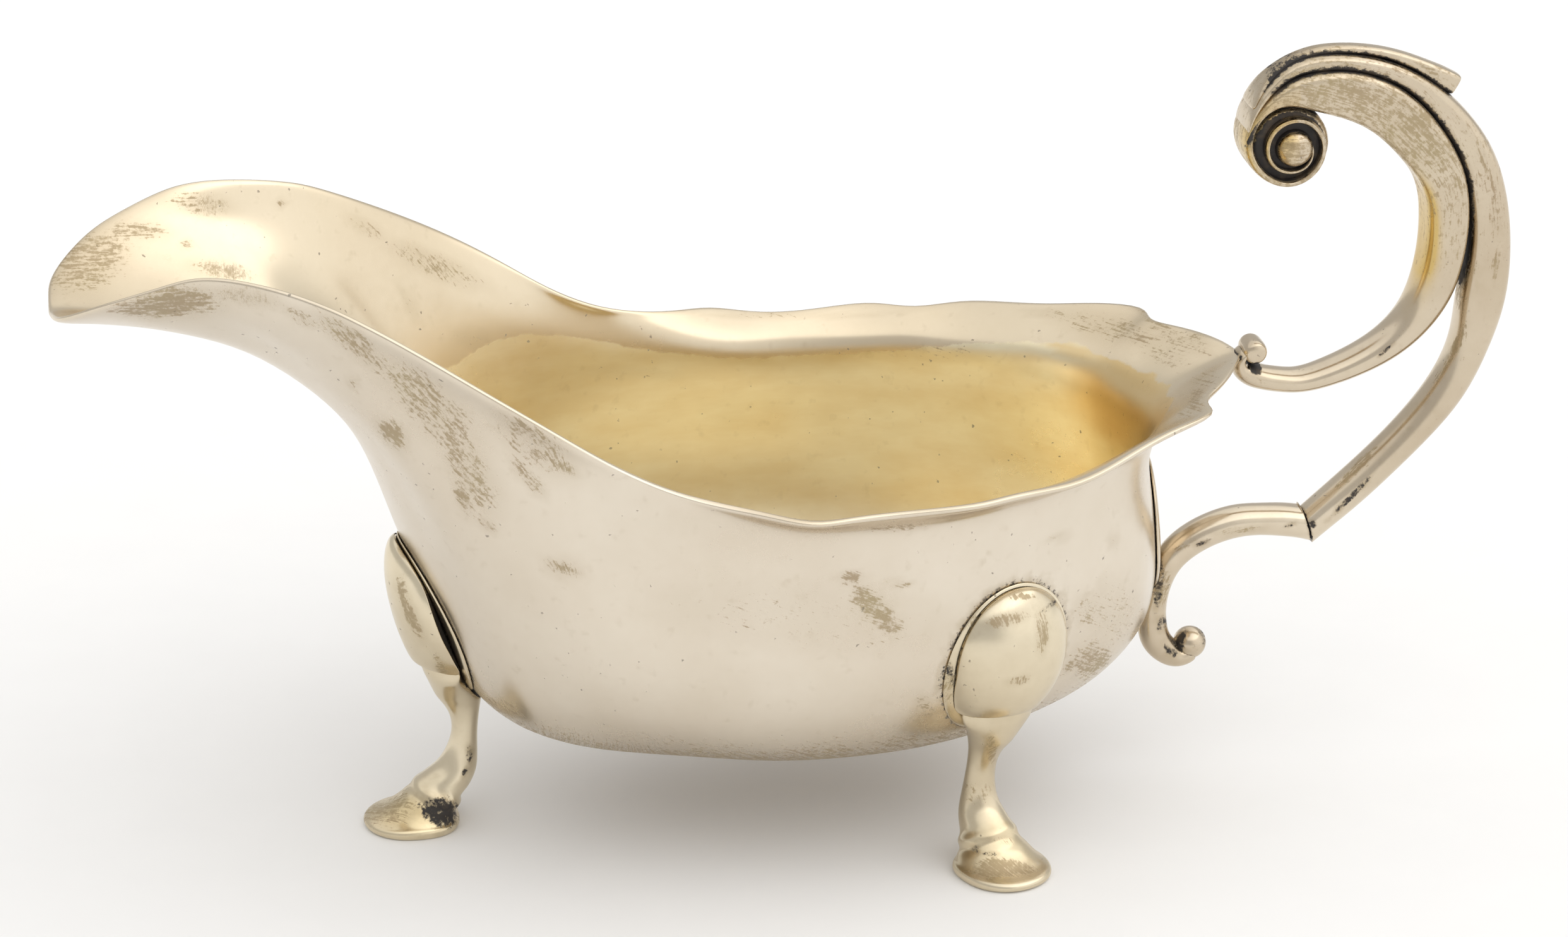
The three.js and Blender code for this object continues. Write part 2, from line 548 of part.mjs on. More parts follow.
addPiece("bowl", bowl, BOWL_SILVER);
addPiece("handle_back_plate", makeBackPlate(0), CAST_SILVER);
for (const [name, geometry] of makeHandle()) {
  addPiece(`handle_${name}`, geometry, CAST_SILVER);
}
const rearTurn = Math.PI / 2 - REAR_FOOT_TURN;
const leftRear = new THREE.Vector3(LIP_X + REAR_FOOT_STATION, -REAR_FOOT_SPREAD / 2, 0);
const FEET = [
  ["front_foot", new THREE.Vector3(LIP_X + FRONT_FOOT_STATION, 0, 0), Math.PI],
  ["left_rear_foot", leftRear, -rearTurn],
  ["right_rear_foot", mirror(leftRear), rearTurn],
];
for (const [name, middle, turn] of FEET) {
  for (const [piece, geometry] of Object.entries(makeFoot(middle, turn))) {
    addPiece(`${name}_${piece}`, geometry, FOOT_SILVER);
  }
}

export default sauceBoat;
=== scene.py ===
# %% [markdown]
# # A footed silver sauce boat
# The boat is a raised silver bowl on three cast hoof feet, with a cast double scroll handle.
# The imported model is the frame: every piece made here lies where the model says, in metres.
# The boat's middle plane is Y = 0, the spout points along -X, and the feet stand on Z = 0.

# %% Load the frame
import math

import bmesh
import bpy
import numpy as np
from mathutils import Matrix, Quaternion, Vector
from mathutils.bvhtree import BVHTree


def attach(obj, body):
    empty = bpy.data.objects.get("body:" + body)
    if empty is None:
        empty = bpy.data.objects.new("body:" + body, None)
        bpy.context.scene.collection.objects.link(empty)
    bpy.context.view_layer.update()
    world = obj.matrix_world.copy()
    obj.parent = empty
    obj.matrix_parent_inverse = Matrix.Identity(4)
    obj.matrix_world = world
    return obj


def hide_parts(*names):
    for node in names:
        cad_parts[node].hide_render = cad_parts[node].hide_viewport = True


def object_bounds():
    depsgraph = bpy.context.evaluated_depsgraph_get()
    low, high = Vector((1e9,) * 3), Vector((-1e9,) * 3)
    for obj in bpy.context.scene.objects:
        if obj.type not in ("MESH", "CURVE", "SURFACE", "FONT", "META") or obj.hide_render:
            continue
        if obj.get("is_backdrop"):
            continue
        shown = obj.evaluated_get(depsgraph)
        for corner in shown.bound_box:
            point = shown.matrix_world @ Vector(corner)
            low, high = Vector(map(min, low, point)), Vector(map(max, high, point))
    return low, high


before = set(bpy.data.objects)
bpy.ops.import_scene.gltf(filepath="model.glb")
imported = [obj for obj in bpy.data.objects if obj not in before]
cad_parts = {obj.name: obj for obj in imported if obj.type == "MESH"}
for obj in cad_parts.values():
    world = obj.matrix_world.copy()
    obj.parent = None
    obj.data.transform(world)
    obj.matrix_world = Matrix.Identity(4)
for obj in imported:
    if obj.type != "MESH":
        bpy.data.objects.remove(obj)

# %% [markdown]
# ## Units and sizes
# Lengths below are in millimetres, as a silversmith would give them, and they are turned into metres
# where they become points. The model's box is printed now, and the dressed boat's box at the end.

MM = 0.001
cad_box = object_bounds()
print("model's box in mm", [[round(v / MM, 1) for v in corner] for corner in cad_box])


def placed(name, data):
    """An object of this name, put in the scene."""
    item = bpy.data.objects.new(name, data)
    bpy.context.scene.collection.objects.link(item)
    return item


# %% [markdown]
# ## The camera
# The photograph looks down on the boat's left side from about 22 degrees above, through a long lens.
# A long lens keeps the near and the far rim close in scale, as they are in the photograph.

# %% Camera
PHOTO_WIDTH, PHOTO_HEIGHT = 2484, 1484
AZIMUTH, ELEVATION = math.radians(10.2), math.radians(22.5)
CAMERA_DISTANCE = 0.690
CAMERA_TARGET = Vector((-0.0017, 0, 0.0462))
SENSOR_WIDTH, LENS = 36, 123.2

towards_camera = Vector((
    -math.sin(AZIMUTH) * math.cos(ELEVATION),
    -math.cos(AZIMUTH) * math.cos(ELEVATION),
    math.sin(ELEVATION),
))
camera = placed("camera", bpy.data.cameras.new("camera"))
camera.location = CAMERA_TARGET + towards_camera * CAMERA_DISTANCE
camera.rotation_mode = "QUATERNION"
camera.rotation_quaternion = (-towards_camera).to_track_quat("-Z", "Y")
camera.data.sensor_width = SENSOR_WIDTH
camera.data.lens = LENS
camera.data.clip_start = 0.05
bpy.context.scene.camera = camera


def line_of_sight(across, down):
    """Where the camera stands, and the direction of one spot of the photograph, counted in its pixels."""
    tangent = camera.data.sensor_width / camera.data.lens / PHOTO_WIDTH
    sideways = (across - PHOTO_WIDTH / 2) * tangent
    upward = (PHOTO_HEIGHT / 2 - down) * tangent
    return camera.location, (camera.rotation_quaternion @ Vector((sideways, upward, -1))).normalized()


print("middle of the photograph looks along", line_of_sight(PHOTO_WIDTH / 2, PHOTO_HEIGHT / 2)[1][:])

# %% [markdown]
# ## The floor
# The boat stands on plain pale paper, wide enough that its edge is never seen. The floor is a stage,
# which means that it isn't part of the boat.

# %% Floor
FLOOR_REACH = 6.0
corners = [(x * FLOOR_REACH, y * FLOOR_REACH, 0) for x, y in ((-1, -1), (1, -1), (1, 1), (-1, 1))]
floor_mesh = bpy.data.meshes.new("floor")
floor_mesh.from_pydata(corners, [], [(0, 1, 2, 3)])
floor = placed("floor", floor_mesh)
floor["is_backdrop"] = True
print("floor reaches", FLOOR_REACH, "metres each way")


# %% [markdown]
# ## Writing materials as sums
# A material is a small calculation that is done again at every spot of a surface. This class wraps
# one socket of the node tree, so that the sums can be written as Python sums.

# %% One value in a material
class Wire:
    """A socket of a node tree. Python's operators on it add Math nodes."""

    def __init__(self, tree, socket=None):
        self.tree = tree
        self.socket = socket

    def feed(self, node, sockets):
        """Gives sockets of a node their values or links."""
        for name, value in sockets.items():
            if isinstance(value, Wire):
                self.tree.links.new(value.socket, node.inputs[name])
            else:
                node.inputs[name].default_value = value

    def node(self, kind, settings=None, sockets=None, output=0):
        """Adds a node: its settings first, then the values or links of its sockets."""
        made = self.tree.nodes.new(kind)
        for name, value in (settings or {}).items():
            setattr(made, name, value)
        self.feed(made, sockets or {})
        return Wire(self.tree, made.outputs[output])

    def math(self, operation, *others, clamp=False):
        settings = {"operation": operation, "use_clamp": clamp}
        return self.node("ShaderNodeMath", settings, dict(enumerate((self, *others))))

    def __add__(self, other):
        return self.math("ADD", other)

    def __sub__(self, other):
        return self.math("SUBTRACT", other)

    def __rsub__(self, other):
        return self.node("ShaderNodeMath", {"operation": "SUBTRACT"}, {0: other, 1: self})

    def __mul__(self, other):
        return self.math("MULTIPLY", other)

    __radd__, __rmul__ = __add__, __mul__

    def clamped(self):
        """The value, kept between 0 and 1."""
        return self.math("ADD", 0.0, clamp=True)

    def sharpened(self, contrast):
        """The value spread away from one half, and kept between 0 and 1."""
        return ((self - 0.5) * contrast + 0.5).clamped()

    def blend(self, under, over, mode="MIX"):
        """Colour `over` laid on colour `under` as far as this value says."""
        settings = {"data_type": "RGBA", "blend_type": mode}
        return self.node("ShaderNodeMix", settings, {0: self, 6: under, 7: over}, output=2)


# %% [markdown]
# ## The light
# Silver shows mostly what surrounds it, so the light is the room itself: a broad bright ceiling, like
# a large diffuser over a table, above duller walls, with a glow where a lamp stands to the right of the
# camera. The edge of the ceiling gives the handle its bright upper and darker side facets.

# %% Light
WALL_LIGHT, CEILING_MORE, LAMP_SIDE_MORE, LAMP_GLOW = 0.62, 0.36, 0.4, 0.55
LAMP_SIDE = (0.80, -0.50, 0.33)
CEILING_EDGE, LAMP_SIDE_EDGE, GLOW_EDGE = (0.5, 0.6), (-0.2, 0.6), (0.45, 0.95)
LIGHT_COLOUR = (1, 0.99, 0.975, 1)
world = bpy.data.worlds.new("studio")
world.use_nodes = True
bpy.context.scene.world = world
sky = Wire(world.node_tree)
direction = sky.node("ShaderNodeTexCoord")
height = sky.node("ShaderNodeSeparateXYZ", sockets={0: direction}, output=2)


def sky_edge(value, start, end):
    """0 below the start and 1 above the end, with a soft edge between."""
    return sky.node("ShaderNodeMapRange", {"interpolation_type": "SMOOTHSTEP"},
                    {"Value": value, "From Min": start, "From Max": end})


towards_lamp = sky.node("ShaderNodeVectorMath", {"operation": "DOT_PRODUCT"},
                        {0: direction, 1: LAMP_SIDE}, output=1)
ceiling = sky_edge(height, *CEILING_EDGE)
strength = (WALL_LIGHT + ceiling * (CEILING_MORE + sky_edge(towards_lamp, *LAMP_SIDE_EDGE) * LAMP_SIDE_MORE)
            + sky_edge(towards_lamp, *GLOW_EDGE) * LAMP_GLOW)
sky.feed(world.node_tree.nodes["Background"], {"Color": LIGHT_COLOUR, "Strength": strength})
bpy.context.scene.view_settings.view_transform = "Standard"
print("light of the walls, the ceiling and the lamp:", WALL_LIGHT, CEILING_MORE, LAMP_GLOW)

# %% [markdown]
# ## The paper
# Paper is dull and nearly white, with faint fibres. A trace of its own light softens the shadow under
# the boat, as a product table lit from below does.

# %% Paper of the floor
PAPER_GREY, PAPER_LIGHT = (0.88, 0.88, 0.88, 1), (0.91, 0.91, 0.91, 1)
PAPER_GLOW = 0.03
paint = bpy.data.materials.new("floor_paper")
paint.use_nodes = True
paper = Wire(paint.node_tree)
fibres = paper.node("ShaderNodeTexNoise", sockets={"Scale": 900.0, "Detail": 4.0})
paper.feed(paint.node_tree.nodes["Principled BSDF"], {
    "Base Color": fibres.blend(PAPER_GREY, PAPER_LIGHT), "Roughness": 0.9, "Specular IOR Level": 0.0,
    "Emission Color": (1, 1, 1, 1), "Emission Strength": PAPER_GLOW})
floor_mesh.materials.append(paint)
print("floor covered with", paint.name)

# %% [markdown]
# ## Silver finishes
# Old silver is not one even mirror. Under the polish lie faint clouds, hairline scratches and shallow
# hammer marks. Tarnish stays as brown and olive streaks where the polishing cloth missed, broken up
# along the cloth's strokes, and black oxide fills the seams. The pieces carry painted layers for this,
# one number or direction for each point: the tarnish, which also lays painted shade under the bowl;
# the strokes; the black oxide, which also lays painted shade in hollows and under the handle's curl;
# and golden stains, which also lay painted glints on the handle and a painted reflection of the gold
# inside the bowl.
# The bowl also carries `gilding`, the distance in millimetres inside the edge of the gold wash.

# %% Finish
TARNISH_BROWN = (0.32, 0.215, 0.135, 1)
TARNISH_OLIVE = (0.36, 0.29, 0.13, 1)
OXIDE_BLACK, OXIDE_BROWN = (0.03, 0.025, 0.022, 1), (0.12, 0.085, 0.05, 1)
# Tints of the golden layer: golden stains with painted glints, and inside the bowl a painted reflection of
# the gold.
GOLD_STAIN_AND_GLINT, INSIDE_GOLD_REFLECTION = (1, 0.84, 0.42, 1), (1, 0.955, 0.85, 1)
GOLD_WASH = ((0.93, 0.85, 0.63, 1), (0.84, 0.72, 0.48, 1), (0.74, 0.54, 0.26, 1))
STREAKS_ALONG, STREAKS_ACROSS = 0.42, 3.2
HAZE = 0.5


def silver_finish(name, bright, dull, polish, hammer, gold=None, warm=GOLD_STAIN_AND_GLINT):
    """Worn silver between two tones. Polish is its smoothest roughness, hammer its bumps' height in mm."""
    material = bpy.data.materials.new(name)
    material.use_nodes = True
    wire = Wire(material.node_tree)
    place = wire.node("ShaderNodeVectorMath", {"operation": "SCALE"},
                      {0: wire.node("ShaderNodeTexCoord", output=3), "Scale": 1 / MM})

    def noise(vector, stretch, detail, rough):
        stretched = wire.node("ShaderNodeVectorMath", {"operation": "MULTIPLY"}, {0: vector, 1: stretch})
        return wire.node("ShaderNodeTexNoise", sockets={
            "Vector": stretched, "Scale": 1.0, "Detail": detail, "Roughness": rough})

    def cloud(size, detail=3.0, stretch=(1, 1, 1), rough=0.5):
        """Soft noise whose patches are about this many millimetres across."""
        return noise(place, tuple(s / size for s in stretch), detail, rough)

    def painted(layer, output=2):
        return wire.node("ShaderNodeAttribute", {"attribute_name": layer}, output=output)

    clouds = cloud(26, 2.0).sharpened(2.4)
    mottle = cloud(2.6, 4.0, rough=0.65).sharpened(2.0)
    hairlines = cloud(2.2, 3.0, (0.10, 0.5, 2.6))
    colour = (clouds * HAZE + mottle * 0.16).blend(bright, dull)
    rough = polish + clouds * 0.05 + mottle * 0.04

    # Golden stains, painted glints on the handle and, inside the bowl, a painted reflection of the gold.
    colour = painted("stain_and_reflection").blend(colour, warm, "MULTIPLY")
    if gold:
        drift = (cloud(5, 3.0) - 0.5) * 1.6 + (cloud(0.9, 2.0) - 0.5) * 0.5
        gilded = ((painted("gilding") + drift) * 3.5).clamped()
        wash = cloud(9, 4.0, (0.5, 1, 1.6), 0.6).sharpened(3.2).blend(gold[0], gold[1])
        # Deep gold where the layer passes 1: deeper gilding at the rear, shaped as painted upright
        # reflection bands.
        wash = (painted("stain_and_reflection") - 1).clamped().blend(wash, gold[2])
        colour = gilded.blend(colour, wash)
        rough = rough + gilded * 0.05

    # Tarnish is a film that the strokes of the cloth have broken into streaks.
    streaks = noise(painted("stroke", output=1), (STREAKS_ALONG / MM, STREAKS_ACROSS / MM, 1), 5.0, 0.62)
    ragged = cloud(0.65, 4.0, rough=0.7)
    film = painted("tarnish_and_shade")
    cover = ((streaks + ragged * 0.8 + cloud(4, 2.0) * 0.3 + film - 1.55) * 6.5).clamped()
    # The veil also carries the painted shade under the bowl.
    veil = (film * 0.7 + (cloud(14, 4.0) - 0.55) * 0.35).clamped()
    tarnish_and_shade = cloud(7, 3.0).blend(TARNISH_BROWN, TARNISH_OLIVE)
    colour = (veil * 0.55).blend(colour, tarnish_and_shade)
    colour = (cover * 0.7).blend(colour, tarnish_and_shade)
    rough = rough + cover * 0.16 + veil * 0.05

    # Fine dark specks sit anywhere, and black oxide with its painted shade only where the oxide layer says.
    from_speck = wire.node("ShaderNodeTexVoronoi", sockets={"Vector": place, "Scale": 0.5})
    specks = ((0.2 - from_speck - cloud(9, 2.0) * 0.3 - (cloud(0.4, 2.0) - 0.5) * 0.5) * 22).clamped()
    black = ((painted("oxide") + (cloud(0.7, 4.0, rough=0.7) - 0.5) * 1.3 - 0.42) * 5).clamped()
    black = black.math("MAXIMUM", specks * 0.5)
    halo = ((painted("oxide") + (cloud(1.6, 3.0) - 0.5) * 0.9 - 0.1) * 1.8).clamped()
    colour = (halo * 0.5).blend(colour, tarnish_and_shade)
    oxide_tone = ((cloud(2, 4.0) - 0.5) * 3).clamped().blend(OXIDE_BLACK, OXIDE_BROWN)
    colour = black.blend(colour, oxide_tone)
    rough = (rough + black * 0.3).clamped()

    bumps = cloud(11, 1.0) * hammer + hairlines * 0.0016 + cover * 0.004 + cloud(0.7, 3.0) * 0.0008
    normal = wire.node("ShaderNodeBump", sockets={"Height": bumps, "Distance": MM, "Strength": 1.0})
    wire.feed(material.node_tree.nodes["Principled BSDF"], {
        "Base Color": colour, "Roughness": rough, "Normal": normal,
        "Metallic": 1 - black * 0.8 - cover * 0.25})
    return material


bowl_finish = silver_finish(
    "bowl_silver", bright=(0.79, 0.72, 0.61, 1), dull=(0.68, 0.59, 0.47, 1), polish=0.2, hammer=0.05,
    gold=GOLD_WASH, warm=INSIDE_GOLD_REFLECTION)
handle_finish = silver_finish(
    "handle_silver", bright=(0.76, 0.67, 0.53, 1), dull=(0.46, 0.36, 0.245, 1), polish=0.16, hammer=0.02)
foot_finish = silver_finish(
    "foot_silver", bright=(0.86, 0.775, 0.60, 1), dull=(0.52, 0.42, 0.27, 1), polish=0.19, hammer=0.03)
print("finishes made:", [m.name for m in (bowl_finish, handle_finish, foot_finish)])

# %% [markdown]
# ## Making meshes
# Each piece is a grid of rings, as a silversmith's sections through it would be. The rings are joined
# by four-sided faces, and subdivision rounds what is left between them.

# %% Piece from rings
pieces = {}


def lay_on(mesh, layer, values):
    """Writes one number, or one direction, for each point of the mesh."""
    values = np.asarray(values, dtype=np.float32)
    is_vector = values.ndim == 2
    attribute = mesh.attributes.get(layer)
    if attribute is None:
        attribute = mesh.attributes.new(layer, "FLOAT_VECTOR" if is_vector else "FLOAT", "POINT")
    attribute.data.foreach_set("vector" if is_vector else "value", values.ravel())


def make_piece(name, points, faces, finish, node, layers, refine=1):
    """A smooth piece that rides on the boat and stands for this node of the model."""
    mesh = bpy.data.meshes.new(name)
    mesh.from_pydata(points, [], faces)
    for layer, values in layers.items():
        lay_on(mesh, layer, values)
    piece = placed(name, mesh)
    smoother = piece.modifiers.new("refine", "SUBSURF")
    smoother.levels = smoother.render_levels = refine
    shaped = piece.evaluated_get(bpy.context.evaluated_depsgraph_get())
    piece.data = bpy.data.meshes.new_from_object(shaped)
    piece.modifiers.clear()
    piece.data.name = name
    piece.data.materials.clear()
    piece.data.materials.append(finish)
    piece.data.shade_smooth()
    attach(piece, "root")
    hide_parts(node)
    pieces[name] = piece
    print(name, "has", len(piece.data.polygons), "faces")
    return piece


def joined_rings(rings, first, last):
    """Points and faces of closed rings joined in order, with each end drawn to a point."""
    count = len(rings[0])
    points = [tuple(p) for ring in rings for p in ring] + [tuple(first), tuple(last)]
    edges = [[(ring * count + side, ring * count + (side + 1) % count) for side in range(count)]
             for ring in range(len(rings))]
    faces = [(a, b, b + count, a + count) for ring in edges[:-1] for a, b in ring]
    faces += [(len(points) - 2, b, a) for a, b in edges[0]]
    faces += [(len(points) - 1, a, b) for a, b in edges[-1]]
    return facing_out(points, faces)


def facing_out(points, faces):
    """Turns all the faces over if they enclose a negative volume."""
    place = np.array(points)
    volume = 0.0
    for face in faces:
        for i in range(1, len(face) - 1):
            volume += np.dot(place[face[0]], np.cross(place[face[i]], place[face[i + 1]]))
    return points, faces if volume > 0 else [tuple(reversed(f)) for f in faces]


# %% [markdown]
# ## The bowl
# The bowl is one sheet, raised with the hammer from a flat disc until the spout and the flaring rim
# stood up. Its shape is the frame's main surface, so it isn't drawn again here: the model's own points
# are read back as rings, from the middle of the underside, over the rim, to the middle of the inside.

# %% Rings of a node
def rings_of(name):
    """The node's points as rings from one pole to the other, found by walking over its faces."""
    mesh = bmesh.new()
    mesh.from_mesh(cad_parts[name].data)
    bmesh.ops.remove_doubles(mesh, verts=mesh.verts, dist=1e-6)
    mesh.verts.ensure_lookup_table()
    beyond = {}
    for face in mesh.faces:
        a, b, c = (vert.index for vert in face.verts)
        beyond.update({(a, b): c, (b, c): a, (c, a): b})
    place = [np.array(vert.co) for vert in mesh.verts]
    poles = sorted(mesh.verts, key=lambda vert: -len(vert.link_edges))[:2]
    start, end = sorted((vert.index for vert in poles), key=lambda index: place[index][2])
    step = {b: c for (a, b), c in beyond.items() if a == start}
    ring = [next(iter(step))]
    while step[ring[-1]] != ring[0]:
        ring.append(step[ring[-1]])
    count = len(ring)
    rings = [ring]
    while True:
        ahead = [beyond[ring[(i + 1) % count], ring[i]] for i in range(count)]
        if ahead[0] == end:
            break
        straight = sum(np.linalg.norm(place[a] - place[b]) for a, b in zip(ahead, ring))
        shifted = sum(np.linalg.norm(place[a] - place[b]) for a, b in zip(ahead, ring[1:] + ring[:1]))
        ring = ahead if straight < shifted else ahead[-1:] + ahead[:-1]
        rings.append(ring)
    mesh.free()
    return np.array([[place[i] for i in ring] for ring in rings]), place[start], place[end]


def kept_through_smoothing(rings):
    """Moves the rings outward by as much as subdivision will draw them in, once round and along."""
    around = (np.roll(rings, 1, axis=1) + np.roll(rings, -1, axis=1) + 4 * rings) / 6
    inner = around.copy()
    inner[1:-1] = (around[:-2] + around[2:] + 4 * around[1:-1]) / 6
    return rings + (rings - inner)


bowl_rings, under_middle, inside_middle = rings_of("bowl")
print("the bowl has", len(bowl_rings), "rings of", bowl_rings.shape[1], "points")

# %% [markdown]
# ## The sheet, finely divided
# Half of the rings lie outside the rim and half inside it. The inner half is given a painted reflection
# from the start: a warmer tone, for the gold of the wash that the silver above it reflects.

# %% Bowl
RIM_RING = len(bowl_rings) // 2 - 1
bowl_points, bowl_faces = joined_rings(kept_through_smoothing(bowl_rings), under_middle, inside_middle)
is_inside = np.repeat(np.arange(len(bowl_rings)) > RIM_RING, bowl_rings.shape[1])
bowl = make_piece("bowl_shell", bowl_points, bowl_faces, bowl_finish, "bowl",
                  {"stain_and_reflection": np.append(is_inside, (0, 1))}, refine=2)


# %% [markdown]
# ## Curves for the castings
# The handle was cast from carved patterns, so its curves run without a kink. A few rows give the middle
# line, thickness and width of an arm, and a cubic spline fills in between them. The spline keeps the
# bend continuous, which polished metal needs: any jump in it shows as a break in the reflections.

# %% Spline through rows
def filled_in(rows, spacing, place=2):
    """Rows of numbers along a curve, filled in every so many millimetres by a natural cubic spline."""
    rows = np.array(rows, float)
    steps = np.linalg.norm(np.diff(rows[:, :place], axis=0), axis=1)
    at = np.concatenate([[0], np.cumsum(steps)])
    system, right = np.eye(len(rows)), np.zeros_like(rows)
    for i in range(1, len(rows) - 1):
        before, after = steps[i - 1], steps[i]
        system[i, i - 1:i + 2] = before, 2 * (before + after), after
        right[i] = 6 * ((rows[i + 1] - rows[i]) / after - (rows[i] - rows[i - 1]) / before)
    bend = np.linalg.solve(system, right)
    fine = np.linspace(0, at[-1], max(2, round(at[-1] / spacing)))
    k = np.clip(np.searchsorted(at, fine, side="right") - 1, 0, len(rows) - 2)
    step, ahead, behind = steps[k][:, None], (at[k + 1] - fine)[:, None], (fine - at[k])[:, None]
    return ((bend[k] * ahead ** 3 + bend[k + 1] * behind ** 3) / (6 * step)
            + (rows[k] / step - bend[k] * step / 6) * ahead
            + (rows[k + 1] / step - bend[k + 1] * step / 6) * behind)


print("three rows become", len(filled_in([[0, 0], [4, 3], [8, 0]], spacing=0.5)), "along a spline")

# %% [markdown]
# ## Sweeping a section along a curve
# Each row of an arm says how far it lies to the right of the rim's rear corner and above it, how deep
# and how wide it is there, and how square its section is. Where the two arms meet, they were cut to a
# mitre and soldered, so an arm may end in a slanting plane.

# %% Arms swept along their rows
HANDLE_FOOT = np.array([58.0, 58.1])
WIDTH_SHARE = 7 / 7.5
MITRE_AT, MITRE_FACING = np.array([9.8, -24.3]), np.array([0.964, 0.265])
MITRE_HALF_GAP = 0.1
GIRTH_SHARE = 1.57
ROUNDED_END = ((1, 0.5), (0.8, 0.85))  # how far past the end, and the share of the section there


def turns(sides):
    """Directions round a section, in radians."""
    return np.arange(sides) * 2 * math.pi / sides


def reach_of_section(turn, squareness):
    """How far a section goes in a direction: 2 is an ellipse, larger is squarer."""
    return (np.abs(np.cos(turn)) ** squareness + np.abs(np.sin(turn)) ** squareness) ** (-1 / squareness)


def arm(rows, spacing=0.8, sides=36, blunt=(0.5, 0.5), mitre_side=0):
    """Rings along rows of place, depth, width and squareness, and the length and girth at each point.

    An arm that ends in the mitre is cut there: what lies beyond the mitre's plane is slid back onto it.
    """
    line = filled_in(rows, spacing)
    centre = line[:, :2] + HANDLE_FOOT
    heading = np.gradient(centre, axis=0)
    heading /= np.linalg.norm(heading, axis=1)[:, None]
    outward = np.stack([-heading[:, 1], heading[:, 0]], axis=1)
    length = np.concatenate([[0], np.cumsum(np.linalg.norm(np.diff(centre, axis=0), axis=1))])
    rings, strokes = [], []

    def ring(at, shift, shrink):
        depth, width, squareness = line[at, 2:5]
        reach = reach_of_section(turns(sides), squareness)
        wide, deep = np.cos(turns(sides)) * reach, np.sin(turns(sides)) * reach
        middle = centre[at] + heading[at] * shift
        flat = middle + outward[at] * (deep * depth / 2 * shrink)[:, None]
        if mitre_side:
            inside = (flat - HANDLE_FOOT - MITRE_AT) @ MITRE_FACING * mitre_side - MITRE_HALF_GAP
            slope = heading[at] @ MITRE_FACING * mitre_side
            flat = flat - heading[at] * (np.minimum(inside, 0) / slope)[:, None]
        across = wide * width * WIDTH_SHARE / 2 * shrink
        rings.append(np.stack([flat[:, 0], across, flat[:, 1]], axis=1) * MM)
        girth = np.arange(sides) / sides * (depth + width) * GIRTH_SHARE
        strokes.append(np.stack([np.full(sides, length[at] + shift), girth, girth * 0], axis=1) * MM)

    for past, shrink in ROUNDED_END:
        ring(0, -past * blunt[0], shrink)
    for at in range(len(line)):
        ring(at, 0, 1)
    for past, shrink in reversed(ROUNDED_END):
        ring(len(line) - 1, past * blunt[1], shrink)
    strokes += [strokes[0][:1], strokes[-1][-1:]]
    return rings, rings[0].mean(axis=0), rings[-1].mean(axis=0), np.concatenate(strokes)


print("corner of a section of squareness 2 and of 8:", *reach_of_section(math.pi / 4, np.array([2, 8])))

# %% [markdown]
# ## The handle
# The inner scroll leaves the rim in a small curl, swings out and up, and rolls over into a volute, a
# strip wound almost two turns round a raised eye. The arm is oval low down and flat-sided above, as on
# the real casting. The eye, the web behind the strip and the curl's knob are turned forms.

# %% Inner scroll
INNER_SCROLL = [
    [2, 0.4, 1.5, 4, 2.2], [0.4, -0.3, 1.6, 4.2, 2.2], [0.2, -1.7, 2.2, 4.5, 2.2],
    [1.5, -2.9, 3.0, 4.7, 2.2], [3.2, -3.55, 3.1, 4.8, 2.2], [5.2, -4.0, 3.1, 4.9, 2.2],
    [7.9, -4.3, 3.1, 5, 2.2], [11.7, -3.6, 3.4, 5.4, 2.2], [15.8, -2.1, 3.8, 5.8, 2.2],
    [19.8, 0.1, 4.3, 6.2, 2.2], [23.2, 3.3, 4.9, 6.6, 2.3], [25.4, 7.2, 5.5, 7, 2.7],
    [26.6, 12, 5.5, 7.3, 4], [26.9, 16.8, 5.5, 7.5, 6], [26.6, 20.3, 5.6, 7.5, 7.5],
    [25.5, 23.8, 5.9, 7.5, 8], [23.2, 27.4, 6.4, 7.5, 8], [19.8, 31.2, 6.7, 7.5, 8],
    [16.1, 33.8, 6.6, 7.5, 8], [12, 35.25, 6.2, 7.5, 7], [8.2, 35.75, 5.1, 7.5, 6], [5, 35.55, 3.4, 7.5, 5],
    [2.4, 34.3, 1.7, 7.5, 4.5], [0.2, 31.6, 1.3, 7.5, 4], [-0.2, 29, 1.25, 7.5, 4],
    [0.65, 26.6, 1.2, 7.5, 4], [2.2, 24.9, 1.1, 7.5, 4], [5.3, 23.8, 0.9, 7.5, 4],
    [8.4, 25.3, 0.95, 7.5, 4], [9.6, 28.4, 0.85, 7.5, 4], [8.6, 31, 0.9, 7.5, 4], [6.3, 32.3, 0.8, 7.4, 4],
    [3.3, 31.3, 0.95, 7.3, 4], [2.2, 28.6, 0.9, 7.2, 4], [3.1, 26.4, 0.75, 7.1, 4], [5.5, 25.35, 0.6, 7, 4],
    [7.6, 26.2, 0.5, 6.9, 4], [8.2, 28.1, 0.45, 6.8, 4], [7.6, 29.8, 0.4, 6.7, 4],
]
VOLUTE_MIDDLE, EYE_MIDDLE = (5.4, 28.5), (5.85, 28.45)
EYE_ROWS = [  # radius and half width of a turned form
    (0.0, 4.4), (0.5, 4.37), (1.05, 4.25), (1.6, 4.0), (2.05, 3.65), (2.3, 3.2), (2.45, 2.6), (2.5, 1.5),
]
WEB_ROWS = [(0.0, 2.2), (2.5, 2.2), (4.6, 2.2), (5.4, 1.9)]
RIM_CURL = (2.0, 0.4)
CURL_ROWS = [(0.0, 2.3), (0.7, 2.25), (1.2, 2.1), (1.45, 1.85), (1.6, 1.4), (1.62, 0.5)]


